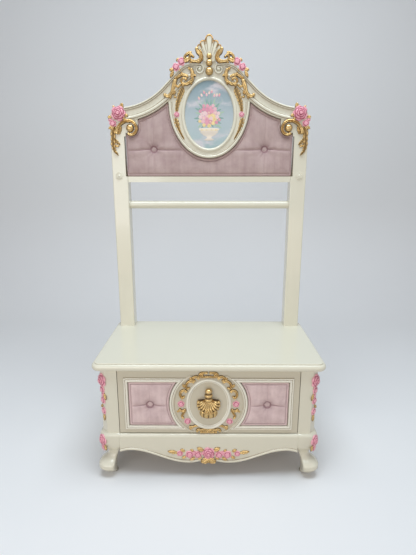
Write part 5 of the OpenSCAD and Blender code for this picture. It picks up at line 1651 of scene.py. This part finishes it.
def tint(name, description, *colour):
    return bpy.props.FloatVectorProperty(name=name, description=description, subtype="COLOR", size=3, default=colour,
                                         min=0, max=1)


class RackSizes(bpy.types.PropertyGroup):
    """Sizes that a user may change"""
    top_corner: bpy.props.FloatProperty(name="Top corner radius", description="Corner radius of the bench top",
                                        default=0.026, min=0.018, max=0.04, unit="LENGTH", subtype="DISTANCE")


class RackFinishes(bpy.types.PropertyGroup):
    """Colours that a user may change"""
    ivory: tint("Ivory", "Lacquer", 0.76, 0.725, 0.60)
    ivory_shade: tint("Ivory shade", "Cloudiness of the lacquer", 0.71, 0.67, 0.53)
    # a lighter copy of the ivory, painted highlight on the drawer's mouldings
    trim_highlight: tint("Trim highlight", "Lacquer of the fine mouldings on the drawer, lightened as painted highlight", 0.87, 0.84, 0.735)
    # a darker copy of the ivory, painted shade on the drawer's field under the top
    ivory_in_shadow: tint("Shaded field", "Lacquer of the drawer's field, darkened as painted shade", 0.63, 0.575, 0.45)
    ivory_in_shadow_cloud: tint("Cloud of the shaded field", "Cloudiness of the drawer's field", 0.58, 0.52, 0.395)
    # painted shade in the grooves and hollows of the lacquer
    ivory_recess_shade: tint("Ivory recess shade", "Painted shade in the mouldings", 0.30, 0.22, 0.12)
    gold: tint("Gold", "Gold paint", 0.62, 0.43, 0.19)
    gold_shade: tint("Gold shade", "Thin places in the gold", 0.34, 0.19, 0.065)
    # painted shade in the recesses of the gilt
    gold_recess_shade: tint("Gold recess", "Painted shade deep in the gilt carving", 0.10, 0.045, 0.01)
    rose: tint("Rose", "Rose paint", 0.90, 0.42, 0.51)
    rose_shade: tint("Rose shade", "Thin places in the pink", 0.92, 0.53, 0.60)
    # painted shade between the petals
    rose_recess_shade: tint("Rose recess", "Painted shade of pink between the petals", 0.48, 0.085, 0.17)
    cloth: tint("Cloth", "Upholstery", 0.59, 0.455, 0.435)
    # a paler copy of the cloth, painted light and sheen on the drawer's pads
    cloth_lit: tint("Cloth on the drawer", "Upholstery of the drawer pads, painted paler as light and sheen", 0.84, 0.66, 0.66)
    # the deep colour of sewn lines and of painted shade in folds and tufts
    cloth_deep: tint("Cloth, pressed and shaded", "Upholstery in seams, with painted shade in folds, tufts and at the border", 0.25, 0.13, 0.15)
    board: tint("Board", "Plain boards", 0.70, 0.53, 0.34)
    board_ring: tint("Board rings", "Late growth in the boards", 0.50, 0.33, 0.17)


class RackStage(bpy.types.PropertyGroup):
    """Camera and lamps"""
    lens: bpy.props.FloatProperty(name="Lens", description="Focal length in millimetres", default=25.435, min=15,
                                  max=80)
    key: bpy.props.FloatProperty(name="Key power", description="Power of the main lamp", default=13.5, min=1, max=500,
                                 unit="POWER")
    ambient: bpy.props.FloatProperty(name="Ambient", description="Strength of the surrounding light", default=0.28,
                                     min=0, max=3)


class RACK_OT_bench_top(bpy.types.Operator):
    """Models the moulded top board of the bench"""
    bl_idname = "rack.bench_top"
    bl_label = "Bench top"

    def execute(self, context):
        model_bench_top()
        return {"FINISHED"}


class RACK_OT_base(bpy.types.Operator):
    """Models the serpentine rails and the cabriole legs"""
    bl_idname = "rack.base"
    bl_label = "Rails and legs"

    def execute(self, context):
        model_base()
        return {"FINISHED"}


class RACK_OT_crest(bpy.types.Operator):
    """Models the crest's mouldings, its volutes and the oval rim"""
    bl_idname = "rack.crest"
    bl_label = "Crest"

    def execute(self, context):
        model_crest()
        model_oval_rim()
        return {"FINISHED"}


class RACK_OT_shell(bpy.types.Operator):
    """Models the scallop shell on the crest"""
    bl_idname = "rack.shell"
    bl_label = "Shell"

    def execute(self, context):
        model_shell()
        return {"FINISHED"}


class RACK_OT_gilding(bpy.types.Operator):
    """Models the gilt scrolls, leaves and beads"""
    bl_idname = "rack.gilding"
    bl_label = "Gilding"

    def execute(self, context):
        model_crest_gilding()
        model_corner_gilding()
        model_wreath()
        model_base_gilding()
        return {"FINISHED"}


class RACK_OT_roses(bpy.types.Operator):
    """Models the carved roses"""
    bl_idname = "rack.roses"
    bl_label = "Roses"

    def execute(self, context):
        model_roses()
        return {"FINISHED"}


class RACK_OT_drawer(bpy.types.Operator):
    """Models the drawer's mouldings, its medallion and the pull"""
    bl_idname = "rack.drawer"
    bl_label = "Drawer front"

    def execute(self, context):
        model_windows()
        model_medallion()
        model_pull()
        return {"FINISHED"}


class RACK_OT_picture(bpy.types.Operator):
    """Models the painted board in the oval"""
    bl_idname = "rack.picture"
    bl_label = "Picture"

    def execute(self, context):
        model_picture()
        return {"FINISHED"}


class RACK_OT_upholstery(bpy.types.Operator):
    """Models the tufted pads and their covered buttons"""
    bl_idname = "rack.upholstery"
    bl_label = "Upholstery"

    def execute(self, context):
        model_upholstery()
        return {"FINISHED"}


class RACK_OT_finishes(bpy.types.Operator):
    """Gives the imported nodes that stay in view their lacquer, timber and steel"""
    bl_idname = "rack.finishes"
    bl_label = "Finishes"

    def execute(self, context):
        finish_packed_nodes()
        return {"FINISHED"}


class RACK_OT_stage(bpy.types.Operator):
    """Sets the floor, the lamps and the camera"""
    bl_idname = "rack.stage"
    bl_label = "Stage"

    def execute(self, context):
        model_stage()
        return {"FINISHED"}


OPERATORS = (RACK_OT_bench_top, RACK_OT_base, RACK_OT_crest, RACK_OT_shell, RACK_OT_gilding, RACK_OT_roses,
             RACK_OT_drawer, RACK_OT_picture, RACK_OT_upholstery, RACK_OT_finishes, RACK_OT_stage)


class RACK_PT_panel(bpy.types.Panel):
    """Lists the pieces of the rack"""
    bl_idname = "RACK_PT_panel"
    bl_label = "Clothes rack"
    bl_space_type = "VIEW_3D"
    bl_region_type = "UI"
    bl_category = "Rack"

    def draw(self, context):
        layout = self.layout
        for group in ("rack_sizes", "rack_finishes", "rack_stage"):
            box = layout.box()
            settings = getattr(context.scene, group)
            for name in settings.bl_rna.properties.keys():
                if name not in ("rna_type", "name"):
                    box.prop(settings, name)
        for operator in OPERATORS:
            layout.operator(operator.bl_idname)


CLASSES = (RackSizes, RackFinishes, RackStage) + OPERATORS + (RACK_PT_panel,)


def register():
    for cls in CLASSES:
        bpy.utils.register_class(cls)
    bpy.types.Scene.rack_sizes = bpy.props.PointerProperty(type=RackSizes)
    bpy.types.Scene.rack_finishes = bpy.props.PointerProperty(type=RackFinishes)
    bpy.types.Scene.rack_stage = bpy.props.PointerProperty(type=RackStage)


def unregister():
    del bpy.types.Scene.rack_sizes
    del bpy.types.Scene.rack_finishes
    del bpy.types.Scene.rack_stage
    for cls in reversed(CLASSES):
        bpy.utils.unregister_class(cls)


def main():
    register()
    bpy.ops.rack.bench_top()
    bpy.ops.rack.base()
    bpy.ops.rack.crest()
    bpy.ops.rack.shell()
    bpy.ops.rack.gilding()
    bpy.ops.rack.roses()
    bpy.ops.rack.drawer()
    bpy.ops.rack.picture()
    bpy.ops.rack.upholstery()
    bpy.ops.rack.finishes()
    bpy.ops.rack.stage()


if __name__ == "__main__":
    main()
